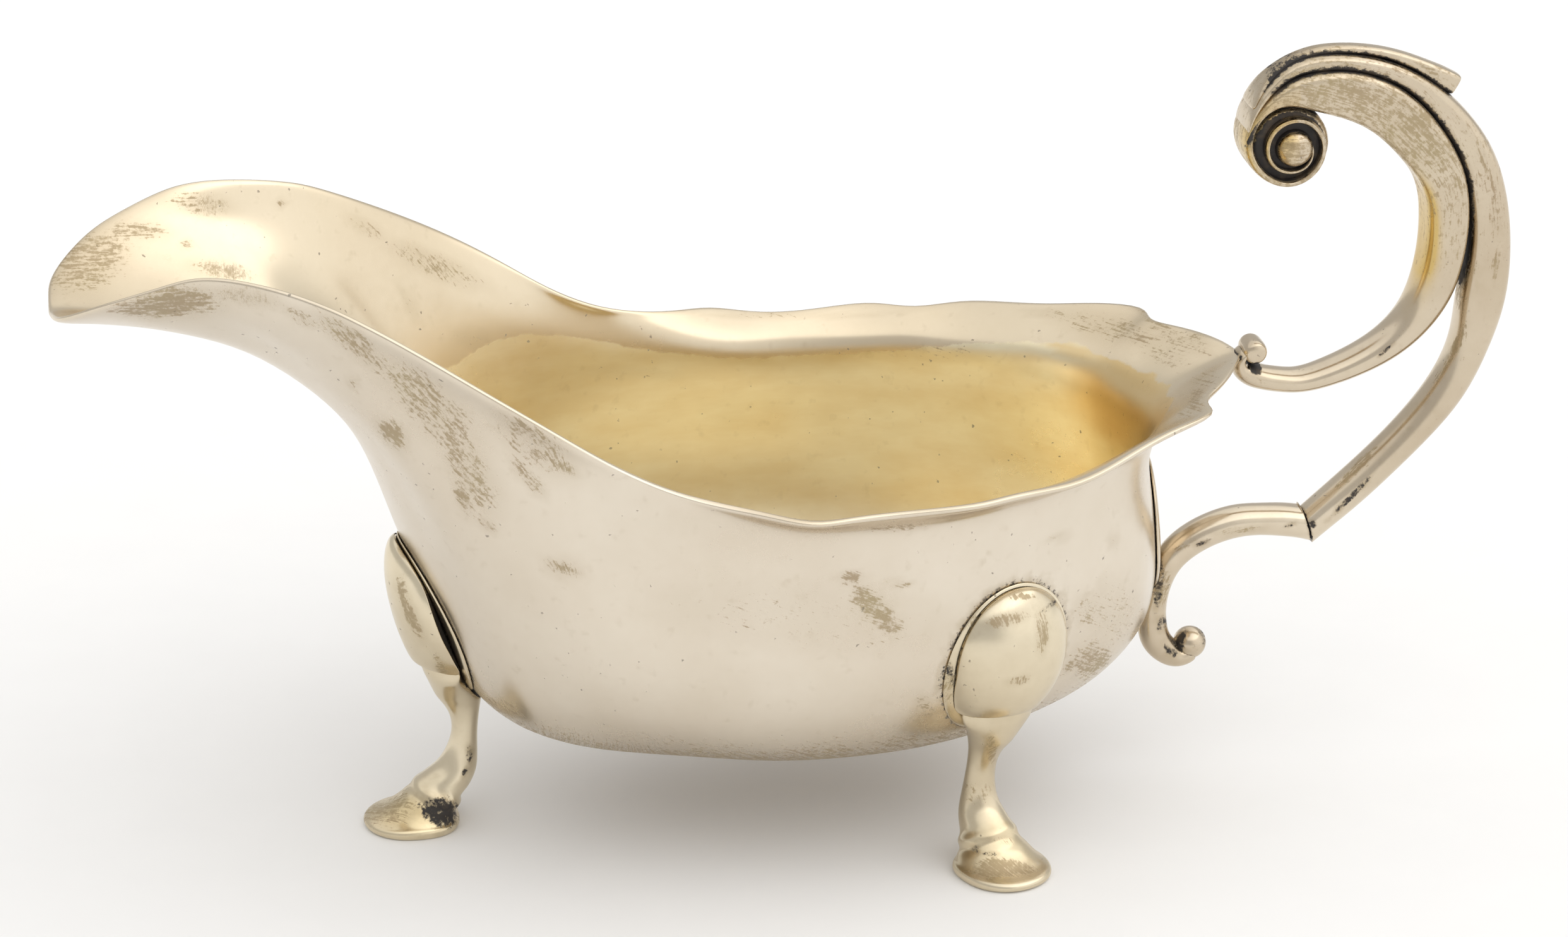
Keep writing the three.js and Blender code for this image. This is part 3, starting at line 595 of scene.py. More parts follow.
def turned(rows, centre, sides=32):
    """A solid of revolution about the Y direction, the same to the left and to the right."""
    rows = list(rows) + [(radius, -half) for radius, half in reversed(rows)]
    right, up = HANDLE_FOOT[0] + centre[0], HANDLE_FOOT[1] + centre[1]
    rings = [np.stack([right + radius * np.cos(turns(sides)), np.full(sides, -across),
                       up + radius * np.sin(turns(sides))], axis=1) * MM for radius, across in rows[1:-1]]
    ends = [np.array([right, -rows[i][1], up]) * MM for i in (0, -1)]
    strokes = np.concatenate([ring[:, [0, 2, 1]] for ring in rings] + [np.array(ends)[:, [0, 2, 1]]])
    return rings, ends[0], ends[1], strokes


def make_casting(name, parts, node):
    """A piece of the handle, made of separately closed forms with a stroke of the cloth at each point."""
    points, faces, strokes = [], [], []
    for rings, first, last, stroke in parts:
        more_points, more_faces = joined_rings(rings, first, last)
        faces += [tuple(index + len(points) for index in face) for face in more_faces]
        points += more_points
        strokes += list(stroke)
    make_piece(name, points, faces, handle_finish, node, {"stroke": strokes})


make_casting("inner_scroll", [
    arm(INNER_SCROLL, spacing=0.55), turned(EYE_ROWS, EYE_MIDDLE), turned(WEB_ROWS, VOLUTE_MIDDLE),
    turned(CURL_ROWS, RIM_CURL)], "handle_inner_scroll")

# %% [markdown]
# ## The back of the handle
# The outer scroll rides on the back of the inner one as a narrower rib and runs on down to the mitre.
# A still narrower leaf lies on its crest for the thumb. The steps in width leave two dark grooves.

# %% Outer scroll and leaf
OUTER_SCROLL = [
    [8.4, -26.4, 4.3, 5.4, 2.4], [11.1, -24.1, 4.4, 5.5, 2.4], [15, -20.8, 4.6, 5.8, 2.3],
    [19.5, -16.7, 4.6, 6, 2.2], [24.2, -11.9, 4.7, 6.2, 2.2], [28.3, -6.6, 4.9, 6.4, 2.3],
    [31, -0.6, 5.1, 6.5, 2.6], [32.2, 4.9, 6, 6.6, 3], [32.8, 10.2, 5.9, 6.6, 3.2],
    [32.8, 15.6, 5.4, 6.4, 3.2], [32, 20.6, 5.2, 6.2, 3.2], [30.4, 25.4, 4.8, 6, 3.2],
    [27.9, 29.5, 4.3, 5.7, 3.2], [25.4, 32.5, 3.7, 5.5, 3.2], [22.3, 35.3, 2.9, 5.4, 3.5],
    [18.7, 37.4, 2.5, 5.4, 3.5], [13.2, 39, 2.2, 5.4, 3.5], [9.4, 39.2, 2.2, 5.3, 3.5],
    [5.9, 38.6, 1.9, 5.4, 3.5], [3.1, 36.8, 1.5, 6, 3.5], [1, 34.3, 1.1, 6.8, 3.2],
    [-0.2, 31.7, 0.7, 7.2, 3], [-0.45, 30, 0.4, 7, 3],
]
THUMB_LEAF = [
    [0.4, 34.2, 0.4, 6, 3], [1.3, 35.8, 0.7, 5.2, 3], [3.1, 37.8, 1, 3.8, 3], [5.4, 39.3, 1.2, 2.9, 3],
    [8.6, 40.4, 1.2, 2.5, 3], [12.2, 40.6, 1.2, 2.5, 3], [16, 40.2, 1.2, 2.6, 3], [19.8, 39.1, 1.5, 2.8, 3],
    [23.2, 37.5, 2, 3, 3.4], [26, 35.8, 2.7, 3, 4], [27.4, 35, 2.7, 2.6, 5],
]
make_casting("outer_scroll", [arm(OUTER_SCROLL, mitre_side=1)], "handle_outer_scroll")
make_casting("thumb_leaf", [arm(THUMB_LEAF, 0.7, 28, (0.4, 0.2))], "handle_thumb_leaf")

# %% [markdown]
# ## The lower scroll
# Below the mitre the curve turns back on itself, comes down beside the bowl and ends in a small ball.

# %% Lower scroll
LOWER_SCROLL = [
    [12.5, -25.5, 4.2, 5.4, 2.4], [9.6, -24.5, 4.2, 5.4, 2.4], [6.2, -23.9, 4.2, 5.2, 2.3],
    [3.8, -23.7, 4.1, 5.1, 2.2], [1.1, -23.7, 4.2, 5, 2.2], [-2.5, -24.5, 4.2, 4.9, 2.2],
    [-5.9, -26.2, 4.1, 4.8, 2.2], [-8.3, -28.5, 3.8, 4.7, 2.2], [-9.8, -32, 3.4, 4.6, 2.2],
    [-10.4, -35.2, 3.6, 4.6, 2.2], [-10.4, -37.3, 3.8, 4.5, 2.2], [-9.9, -39.7, 4, 4.4, 2.2],
    [-8.5, -41.5, 3.7, 4.3, 2.2], [-6.8, -42.4, 3.2, 4.2, 2.1], [-5.2, -42, 2.5, 4.1, 2.1],
]
END_BALL = (-5.2, -40.7)
BALL_RADIUS = 2.2
BALL_ROWS = [(BALL_RADIUS * math.sin(turn), BALL_RADIUS * math.cos(turn)) for turn in turns(32)[:9]]
make_casting("lower_scroll", [arm(LOWER_SCROLL, mitre_side=-1), turned(BALL_ROWS, END_BALL, 28)],
             "handle_lower_scroll")

# %% [markdown]
# ## Plates
# Each foot is a leg with a hoof, a domed knee over it, and a thin plate that spreads the load on the
# sheet of the bowl. Plate and knee were bent to the bowl, so every point of them is measured off from
# the bowl's own wall.

# %% Thin plates on the wall
SIDES_OF_PATCH = 48
RAY_START = 60


def tree_of(piece):
    mesh = piece.data
    return BVHTree.FromPolygons([v.co for v in mesh.vertices], [tuple(f.vertices) for f in mesh.polygons])


bowl_wall = tree_of(bowl)


def off_the_wall(seat, outward, across, up, offset):
    """The point so many millimetres off the wall, seen against the outward direction."""
    sideways = Vector((-outward.y, outward.x, 0))
    start = (seat + sideways * across + Vector((0, 0, up)) + outward * RAY_START) * MM
    hit = bowl_wall.ray_cast(start, -outward)[0]
    return None if hit is None else hit / MM + outward * offset


def seat_on_wall(middle, outward, height):
    point = off_the_wall(Vector((middle[0], middle[1], height)), outward, 0, 0, 0)
    return Vector((point.x, point.y, height))


def thin_oval(seat, outward, width, height, lift, thickness):
    """A thin oval sheet with rounded edges, bent to the wall."""
    top = lift + thickness
    rows = [(0.25, top), (0.5, top), (0.75, top), (0.9, top), (0.96, top - 0.04), (0.99, top - 0.16),
            (1.0, lift + thickness * 0.5), (0.99, lift + 0.1), (0.95, lift), (0.7, lift), (0.35, lift)]
    rings = [[off_the_wall(seat, outward, radius * width / 2 * math.cos(turn),
                           radius * height / 2 * math.sin(turn), offset) * MM
              for turn in turns(SIDES_OF_PATCH)] for radius, offset in rows]
    ends = [off_the_wall(seat, outward, 0, 0, offset) * MM for offset in (top, lift)]
    return joined_rings(rings, *ends)


print("the bowl's wall has", len(bowl.data.polygons), "faces to measure from")

# %% [markdown]
# ## Knees
# A knee is a boss like the bowl of a spoon, cut off below by an arching crease. The front knee is a
# hollow shell, and its side edges stand off the plate, so a dark hollow shows beside it, darkened
# further with oxide and painted shade.

# %% Domed knees
KNEE_WIDTH, KNEE_HEIGHT, KNEE_CUT, KNEE_NARROW = 17.3, 21.2, 22.1, 0.18
KNEE_SEAT, KNEE_EDGE, KNEE_BULGE, KNEE_SLOPE = 0.5, 0.25, 4.6, 0.3
KNEE_SQUARE_ABOVE, KNEE_SQUARE_BELOW = 2, 2.3
DOME_START, DOME_ROUNDNESS = 2.3, 0.58
CREASE_RISE = 1.1
RECESS_MIDDLE, RECESS_HALF_LENGTH, EDGE_STANDS_OFF = -0.8, 6.8, 6
HOLLOW_FROM, HOLLOW_OXIDE_AND_SHADE = 0.4, 3


def knee_half_width(up):
    return KNEE_WIDTH / 2 * (1 - KNEE_NARROW * (0.5 - up / KNEE_HEIGHT))


def knee_front(across, up):
    """How far the front of the knee stands off the wall."""
    from_middle = min(math.hypot(across / knee_half_width(up), up / (KNEE_HEIGHT / 2)), 1)
    dome = (1 - from_middle ** DOME_START) ** DOME_ROUNDNESS
    return KNEE_SEAT + KNEE_EDGE + KNEE_BULGE * dome * (1 - KNEE_SLOPE * up / (KNEE_HEIGHT / 2))


def domed_knee(seat, outward, stand_off):
    """A domed shell cut off at its foot. Its side edges may stand off, with oxide and painted shade in the
    hollow.
    """
    cut, rise = (seat.z - KNEE_CUT) / (KNEE_HEIGHT / 2), CREASE_RISE / (KNEE_HEIGHT / 2)

    def crease(turn):
        """How far the crease is from the middle, along a line that turns down: it arches by the rise."""
        bend = 2 * rise * math.cos(turn) ** 2
        inside = math.sin(turn) ** 2 - 2 * bend * (cut - rise)
        if bend < 1e-6:
            return (cut - rise) / -math.sin(turn)
        return (-math.sin(turn) - math.sqrt(inside)) / bend if inside > 0 else 9

    def seen_from_front(radius, turn):
        """How far across and up a point is, and how far the shell stands off there."""
        reach = reach_of_section(turn, KNEE_SQUARE_ABOVE if math.sin(turn) > 0 else KNEE_SQUARE_BELOW)
        if math.sin(turn) < 0:
            reach = min(reach, crease(turn))
        up = math.sin(turn) * reach * radius * KNEE_HEIGHT / 2
        recess = max(1 - ((up - RECESS_MIDDLE) / RECESS_HALF_LENGTH) ** 2, 0)
        return math.cos(turn) * reach * radius * knee_half_width(up), up, recess * stand_off

    def at(radius, turn, sunk, hollow=0):
        """A point of the shell, sunk from its front at 0 to its seat at 1, drawn in where it is hollow."""
        radius -= hollow * seen_from_front(radius, turn)[2]
        across, up, recess = seen_from_front(radius, turn)
        front = knee_front(across, up) + recess * radius ** EDGE_STANDS_OFF
        return off_the_wall(seat, outward, across, up, front + (KNEE_SEAT - front) * sunk) * MM

    rows = [(r, 0, 0) for r in (0.2, 0.4, 0.58, 0.72, 0.83, 0.91, 0.96)]
    rows += [(0.985, 0.03, 0), (1.0, 0.18, 0), (0.99, 0.35, 0), (0.98, 0.45, 0.06), (0.97, 0.9, 0.12),
             (0.93, 1, 0.12), (0.4, 1, 0)]
    rings = [[at(radius, turn, sunk, hollow) for turn in turns(SIDES_OF_PATCH)]
             for radius, sunk, hollow in rows]
    # Oxide and painted shade in the hollow behind the front knee's standing-off edges.
    oxide = [(sunk > HOLLOW_FROM) * min(seen_from_front(radius, turn)[2] * HOLLOW_OXIDE_AND_SHADE, 1)
             for radius, sunk, _ in rows for turn in turns(SIDES_OF_PATCH)]
    return *joined_rings(rings, at(0, 0, 0), at(0, 0, 1)), oxide + [0, 1]


print("a knee stands out from the wall by", round(knee_front(0, 0), 2), "mm in its middle")

# %% [markdown]
# ## Legs and hooves
# A leg leans from its hoof inwards to the knee. Low down its section is a hoof with a sharp sole, then
# a raised ring, the coronet, and a thin shank. At the top it spreads to the width of the knee, takes
# over the knee's curve below the crease, and keeps just clear of the bowl's wall behind it.

# %% Legs
HOOF_LENGTH, HOOF_WIDTH, LEG_TOP = 12.2, 11.9, 22.1
ROWS_LENGTH = 11.9
LEAN_FROM, LEAN_TO, MEETS_WALL, JOINS_KNEE, ARCHES = 1.3, 21.8, 12.5, 16.8, 18
WALL_GAP, LEAN_SHORT, JOINS_EASE = 0.3, 2.5, 1.6
TUCKED_UNDER, TUCKED_MORE = 0.04, 0.5
LEG_ROWS = [  # height, back, front, share of the width, squareness of the toe and of the heel
    [0, 0.5, 11.3, 0.93, 2.1, 2.7], [0.2, 0.15, 11.95, 0.975, 2.1, 2.7], [0.6, 0, 12.2, 1, 2.1, 2.7],
    [1.05, 0.05, 12.05, 0.985, 2.1, 2.7], [1.4, 0.2, 11.3, 0.94, 2.1, 2.6],
    [1.75, 0.25, 10.2, 0.88, 2.1, 2.6], [2.9, 0, 8.4, 0.75, 2.1, 2.6], [3.7, -0.1, 7.5, 0.67, 2.1, 2.5],
    [4.3, -0.5, 7.05, 0.62, 2.1, 2.4], [4.9, -1.1, 6.5, 0.57, 2.1, 2.3], [5.6, -1.6, 5.7, 0.53, 2.1, 2.3],
    [6.6, -2.1, 4.6, 0.49, 2, 2.2], [8.1, -2.5, 2.8, 0.42, 2, 2], [10.4, -2.6, 1.3, 0.36, 2, 2],
    [13.1, -2.7, 0.6, 0.34, 2, 2], [16.2, -3.1, 1.3, 0.38, 2, 2], [18.3, -3.2, 2.75, 0.52, 2, 2],
    [20, -2.2, 3.7, 0.72, 2.1, 2.1], [LEG_TOP, 0.4, 4.6, 0.87, 2.2, 2.2],
    [LEG_TOP + 1.1, 0.9, 4.5, 0.84, 2.2, 2.2],
]
CORONET_MIDDLE, CORONET_SLOPE, CORONET_SOFTNESS = 4.1, 1.4, 0.5
CORONET_CREST, CREST_SWELLS, CORONET_GROOVE, GROOVE_SINKS = 0.5, 0.07, -0.6, 0.06
SIDES_OF_LEG = 40


def share_between(value, start, end):
    """0 at the start and 1 at the end, and no less or more outside them."""
    return np.clip((value - start) / (end - start), 0, 1)


def eased(value, start, end):
    """The share between start and end, with a soft start and a soft end."""
    share = share_between(value, start, end)
    return share * share * (3 - 2 * share)


def ridge(away):
    """1 on a crest, fading to 0 on both sides of it."""
    return math.exp(-(away / CORONET_SOFTNESS) ** 2)


def hoofed_leg(middle, outward, seat):
    """A leg that leans from its hoof to the knee, with its back kept off the wall and the plate."""
    heel = Vector((middle[0], middle[1], 0)) - outward * HOOF_LENGTH / 2
    sideways = Vector((-outward.y, outward.x, 0))
    lean = (seat - Vector((*middle, seat.z))).dot(outward) + HOOF_LENGTH / 2 - LEAN_SHORT
    rings = []
    for z, back, front, share, toe, heel_squareness in filled_in(LEG_ROWS, 0.4, place=3):
        shift = lean * eased(z, LEAN_FROM, LEAN_TO)
        middle_along = (back + front) / 2 / ROWS_LENGTH * HOOF_LENGTH + shift
        ring = []
        for turn in turns(SIDES_OF_LEG):
            reach = reach_of_section(turn, toe if math.cos(turn) > 0 else heel_squareness)
            above = z - CORONET_MIDDLE - CORONET_SLOPE * math.cos(turn)
            reach *= 1 + CREST_SWELLS * ridge(above - CORONET_CREST)
            reach *= 1 - GROOVE_SINKS * ridge(above - CORONET_GROOVE)
            along = middle_along + math.cos(turn) * reach * (front - back) / 2 / ROWS_LENGTH * HOOF_LENGTH
            across = math.sin(turn) * reach * share * HOOF_WIDTH / 2
            wall = off_the_wall(heel, outward, across, z, 0) if z > MEETS_WALL else None
            if wall is not None:
                behind = (wall - heel).dot(outward)
                along = max(along, behind + WALL_GAP)
                joins = share_between(z, JOINS_KNEE, LEG_TOP) ** JOINS_EASE
                bow = math.cos(turn) * reach
                tucked = TUCKED_UNDER + TUCKED_MORE * max(z - LEG_TOP, 0)
                knee = knee_front(across, KNEE_CUT + CREASE_RISE - seat.z) - tucked
                flush = behind + (knee + WALL_GAP) / 2 + bow * (knee - WALL_GAP) / 2
                along += (flush - along) * joins
            arch = CREASE_RISE * (1 - (across / knee_half_width(KNEE_CUT - seat.z)) ** 2)
            arch *= share_between(z, ARCHES, LEG_TOP)
            ring.append((heel + outward * along + sideways * across + Vector((0, 0, z + arch))) * MM)
        rings.append(ring)
    ends = [sum(ring, Vector()) / len(ring) for ring in (rings[0], rings[-1])]
    return joined_rings(rings, *ends)


print("a hoof is", HOOF_LENGTH, "mm long, and its leg ends", LEG_TOP, "mm above the floor")

# %% [markdown]
# ## Three feet and a back plate
# One foot stands under the spout and points forward. The other two point outwards and a little to the
# rear. The plate behind the handle is made like those of the feet, and strengthens the sheet there.

# %% Feet and back plate
KNEE_MIDDLE, BACK_PLATE_MIDDLE = 29.9, 36
REAR_TURN = math.radians(26)
FEET = {  # middle of the hoof, and where it points
    "front_foot": ((-50.9, 0.0), Vector((-1, 0, 0))),
    "left_rear_foot": ((21.71, -27.87), Vector((math.sin(REAR_TURN), -math.cos(REAR_TURN), 0))),
    "right_rear_foot": ((21.71, 27.87), Vector((math.sin(REAR_TURN), math.cos(REAR_TURN), 0))),
}
PAD_SIZES = dict(width=18, height=21.9, lift=0.02, thickness=0.5)
BACK_PLATE_SIZES = dict(width=17, height=19, lift=0.05, thickness=0.6)
FRONT_KNEE_STANDS_OFF = 1.15


def foot_layers(points, **more):
    """The strokes of the cloth run up and down a foot."""
    at = np.array([tuple(point) for point in points])
    return {"stroke": np.stack([at[:, 2], at[:, 0] + at[:, 1], at[:, 0] * 0], axis=1), **more}


def add_foot_piece(name, shape, node, **layers):
    points, faces = shape
    make_piece(name, points, faces, foot_finish, node, foot_layers(points, **layers))


for foot, (middle, outward) in FEET.items():
    seat = seat_on_wall(middle, outward, KNEE_MIDDLE)
    add_foot_piece(foot + "_pad", thin_oval(seat, outward, **PAD_SIZES), foot + "_plate")
    *knee, oxide = domed_knee(seat, outward, FRONT_KNEE_STANDS_OFF if foot == "front_foot" else 0)
    add_foot_piece(foot + "_dome", knee, foot + "_knee", oxide=oxide)
    add_foot_piece(foot + "_hoofed_leg", hoofed_leg(middle, outward, seat), foot + "_leg")

rearward = Vector((1, 0, 0))
points, faces = thin_oval(seat_on_wall((0, 0), rearward, BACK_PLATE_MIDDLE), rearward, **BACK_PLATE_SIZES)
make_piece("back_plate", points, faces, handle_finish, "handle_back_plate",
           foot_layers(points))


# %% [markdown]
# ## Looking at the pieces
# To paint age onto the pieces, their points and directions are read as numbers, and a line of sight
# from the camera tells which piece lies under one pixel of the photograph, and where.

# %% Points of a piece as numbers
def places_of(piece):
    flat = np.empty(len(piece.data.vertices) * 3, dtype=np.float32)
    piece.data.vertices.foreach_get("co", flat)
    return flat.reshape(-1, 3).astype(float)


def value_of(piece, layer):
    values = np.zeros(len(piece.data.vertices), dtype=np.float32)
    attribute = piece.data.attributes.get(layer)
    if attribute is not None:
        attribute.data.foreach_get("value", values)
    return values


trees = {name: tree_of(piece) for name, piece in pieces.items()}
places = {name: places_of(piece) for name, piece in pieces.items()}
normals = {name: np.array([vertex.normal[:] for vertex in piece.data.vertices])
           for name, piece in pieces.items()}
bowl_places = places["bowl_shell"] / MM
inside = value_of(bowl, "stain_and_reflection")


def seen_at(across, down):
    """The name of the piece, the spot and the surface's direction under one pixel of the photograph."""
    eye, ray = line_of_sight(across, down)
    hits = []
    for name, tree in trees.items():
        spot, normal, _, distance = tree.ray_cast(eye, ray)
        if spot is not None:
            hits.append((distance, name, spot, normal))
    return min(hits, key=lambda hit: hit[0])[1:] if hits else (None, None, None)


print("piece under the middle of the photograph:", seen_at(PHOTO_WIDTH / 2, PHOTO_HEIGHT / 2)[0])

# %% [markdown]
# ## Oxide and painted shade
# Black oxide gathers wherever two pieces come close together, and in hollows that no cloth reaches: a
# point is shut in when most slanting looks out of it end at metal, and it is darkened as far as it is
# shut in, as painted shade as well as oxide. The grooves between the scrolls fade out at the crown, the
# channel of the volute is black to its bottom, and a painted shadow lies under the curl's knob.

# %% Oxide in the seams
SEAMS = {
    "bowl_shell": [("front_foot_pad", 0.9), ("left_rear_foot_pad", 0.9), ("right_rear_foot_pad", 0.9),
                   ("back_plate", 0.6), ("lower_scroll", 0.8), ("inner_scroll", 0.3)],
    "inner_scroll": [("outer_scroll", 0.7), ("bowl_shell", 0.25)],
    "outer_scroll": [("inner_scroll", 0.8), ("thumb_leaf", 0.6), ("lower_scroll", 0.35)],
    "thumb_leaf": [("outer_scroll", 0.6)],
    "lower_scroll": [("outer_scroll", 0.3), ("bowl_shell", 0.7), ("back_plate", 0.7)],
    "back_plate": [("bowl_shell", 0.12), ("lower_scroll", 0.8)],
}
SEAM_FADE, BOWL_SEAM_SHARE = 1.6, 0.6
LOOKS, LOOK_SLANT, LOOK_REACH, SHUT_IN_GAIN, SHUT_IN_START = 8, 1.1, 1.9, 1.6, 0.6
CROWN_FROM, LEAF_CREST, GROOVE_STARTS, GROOVE_GROWS = 29, 36, 0.5, 2.5
CHANNEL_RADIUS, WINDING_RADIUS, CHANNEL_HALF_WIDTH, CHANNEL_EDGE = 4.05, 6.2, 3.15, 0.35
FACES_MIDDLE = 0.3
CURL_SHADOW, CURL_SHADOW_RADIUS, CURL_SHADOW_DEPTH = (2.2, -1.6), 0.7, 1.75
for foot in FEET:
    SEAMS[foot + "_pad"] = [(foot + "_dome", 0.05), ("bowl_shell", 0.08)]
    SEAMS[foot + "_dome"] = [(foot + "_hoofed_leg", 0.1), (foot + "_pad", 0.05)]
    SEAMS[foot + "_hoofed_leg"] = [(foot + "_dome", 0.12), (foot + "_pad", 0.15), ("bowl_shell", 0.25)]


def shut_in(vertex, others):
    """The share of eight slanting looks out of a point that end at metal close by."""
    normal = vertex.normal
    side = normal.orthogonal().normalized()
    start = vertex.co + normal * 0.03 * MM
    stopped = 0
    for turn in turns(LOOKS):
        look = (normal + (Quaternion(normal, turn) @ side) * LOOK_SLANT).normalized()
        stopped += any(tree.ray_cast(start, look, LOOK_REACH * MM)[0] is not None for tree in others)
    return stopped / LOOKS


def nearness(vertex, tree, reach):
    """1 where the point touches the other piece, falling to 0 so many millimetres away from it."""
    away = tree.find_nearest(vertex.co, reach * MM)[3]
    return 0 if away is None else 1 - away / MM / reach


for name, neighbours in SEAMS.items():
    vertices = pieces[name].data.vertices
    oxide = value_of(pieces[name], "oxide")
    others = [trees[neighbour] for neighbour, _ in neighbours]
    for tree, (_, reach) in zip(others, neighbours):
        near = np.array([nearness(vertex, tree, reach * SEAM_FADE) for vertex in vertices])
        oxide = np.maximum(oxide, near * (BOWL_SEAM_SHARE if name == "bowl_shell" else 1))
    if name == "bowl_shell":
        oxide *= inside < 0.5
    elif not name.endswith("pad"):
        # Painted shade with the oxide: a point is darkened as far as it is shut in.
        hidden = np.array([shut_in(vertex, [trees[name], *others]) for vertex in vertices])
        oxide = np.maximum(oxide, hidden * SHUT_IN_GAIN - SHUT_IN_START)
    if name in ("inner_scroll", "outer_scroll", "thumb_leaf"):
        seen = places[name][:, [0, 2]] / MM - HANDLE_FOOT
        right, up = seen.T
        outwards = seen - VOLUTE_MIDDLE
        away = np.linalg.norm(outwards, axis=1)
        grows_out = np.clip((right - GROOVE_STARTS - (up < LEAF_CREST)) / GROOVE_GROWS, 0, 1)
        oxide *= np.where((up > CROWN_FROM) & (away > WINDING_RADIUS), grows_out, 1)
    if name == "inner_scroll":
        facing = np.sum(normals[name][:, [0, 2]] * outwards, axis=1) / away
        in_channel = (away < CHANNEL_RADIUS) | ((away < WINDING_RADIUS) & (facing < FACES_MIDDLE))
        from_edge = CHANNEL_HALF_WIDTH - np.abs(places[name][:, 1]) / MM
        oxide = np.maximum(oxide, in_channel * np.clip(from_edge / CHANNEL_EDGE, 0, 1))
        # A painted shadow under the curl's knob, laid with the oxide.
        under_curl = np.linalg.norm(seen - CURL_SHADOW, axis=1)
        oxide = np.maximum(oxide, np.clip(CURL_SHADOW_DEPTH - under_curl / CURL_SHADOW_RADIUS, 0, 1))
    lay_on(pieces[name].data, "oxide", oxide)
    print(name, "has oxide on", int((oxide > 0.4).sum()), "of", len(oxide), "points")

# %% [markdown]
# ## The gold wash
# The inside was gilded below the flaring rim, because salt and vinegar attack silver. The edge of the
# wash wanders: fifteen spots along it are looked up on the far wall, and the near wall mirrors them.

# %% Edge of the wash
WASH_EDGE = [
    (716, 579), (767, 542), (837, 528), (917, 531), (1003, 552), (1115, 566), (1250, 563), (1400, 557),
    (1515, 543), (1630, 541), (1698, 541), (1744, 557), (1802, 582), (1832, 605), (1859, 631),
]
HEIGHT_UNDER_SPOUT = 57.0
edge_turn, edge_height = [math.pi], [HEIGHT_UNDER_SPOUT]
for across, down in WASH_EDGE:
    spot = seen_at(across, down)[1] / MM
    edge_turn.append(math.atan2(abs(spot.y), spot.x))
    edge_height.append(spot.z)
edge_turn.append(0.0)
edge_height.append(edge_height[-1])
order = np.argsort(edge_turn)

turn = np.arctan2(np.abs(bowl_places[:, 1]), bowl_places[:, 0])
edge = np.interp(turn, np.array(edge_turn)[order], np.array(edge_height)[order])
lay_on(bowl.data, "gilding", np.where(inside > 0.5, np.clip(edge - bowl_places[:, 2], -9, 9), -9))
print("gilded points:", int(((edge > bowl_places[:, 2]) & (inside > 0.5)).sum()))

# %% [markdown]
# ## The strokes of the cloth
# The cloth went along the lip, down the slope of the spout and slantwise round the body. The streaks
# of tarnish follow these directions, which turn from one to the next.

# %% Strokes of the cloth on the bowl
LIP_SLANT, SPOUT_SLANT, BODY_SLANT = 2, 52, 24
SPOUT_FROM, SPOUT_TO, BODY_FROM, BODY_TO = -74, -66, -36, -20


def slanted(places, degrees):
    """Distance along and across strokes that slant downwards to the right by so many degrees."""
    turn = math.radians(degrees)
    along = places[:, 0] * math.cos(turn) - places[:, 2] * math.sin(turn)
    across = places[:, 0] * math.sin(turn) + places[:, 2] * math.cos(turn) + places[:, 1] * 0.3
    return np.stack([along, across, places[:, 0] * 0], axis=1)


strokes = slanted(bowl_places, LIP_SLANT)
for slant, start, end in ((SPOUT_SLANT, SPOUT_FROM, SPOUT_TO), (BODY_SLANT, BODY_FROM, BODY_TO)):
    share = eased(bowl_places[:, 0], start, end)[:, None]
    strokes = strokes * (1 - share) + slanted(bowl_places, slant) * share
lay_on(bowl.data, "stroke", strokes * MM)
print("strokes slant by", LIP_SLANT, SPOUT_SLANT, BODY_SLANT, "degrees on the lip, the spout and the body")
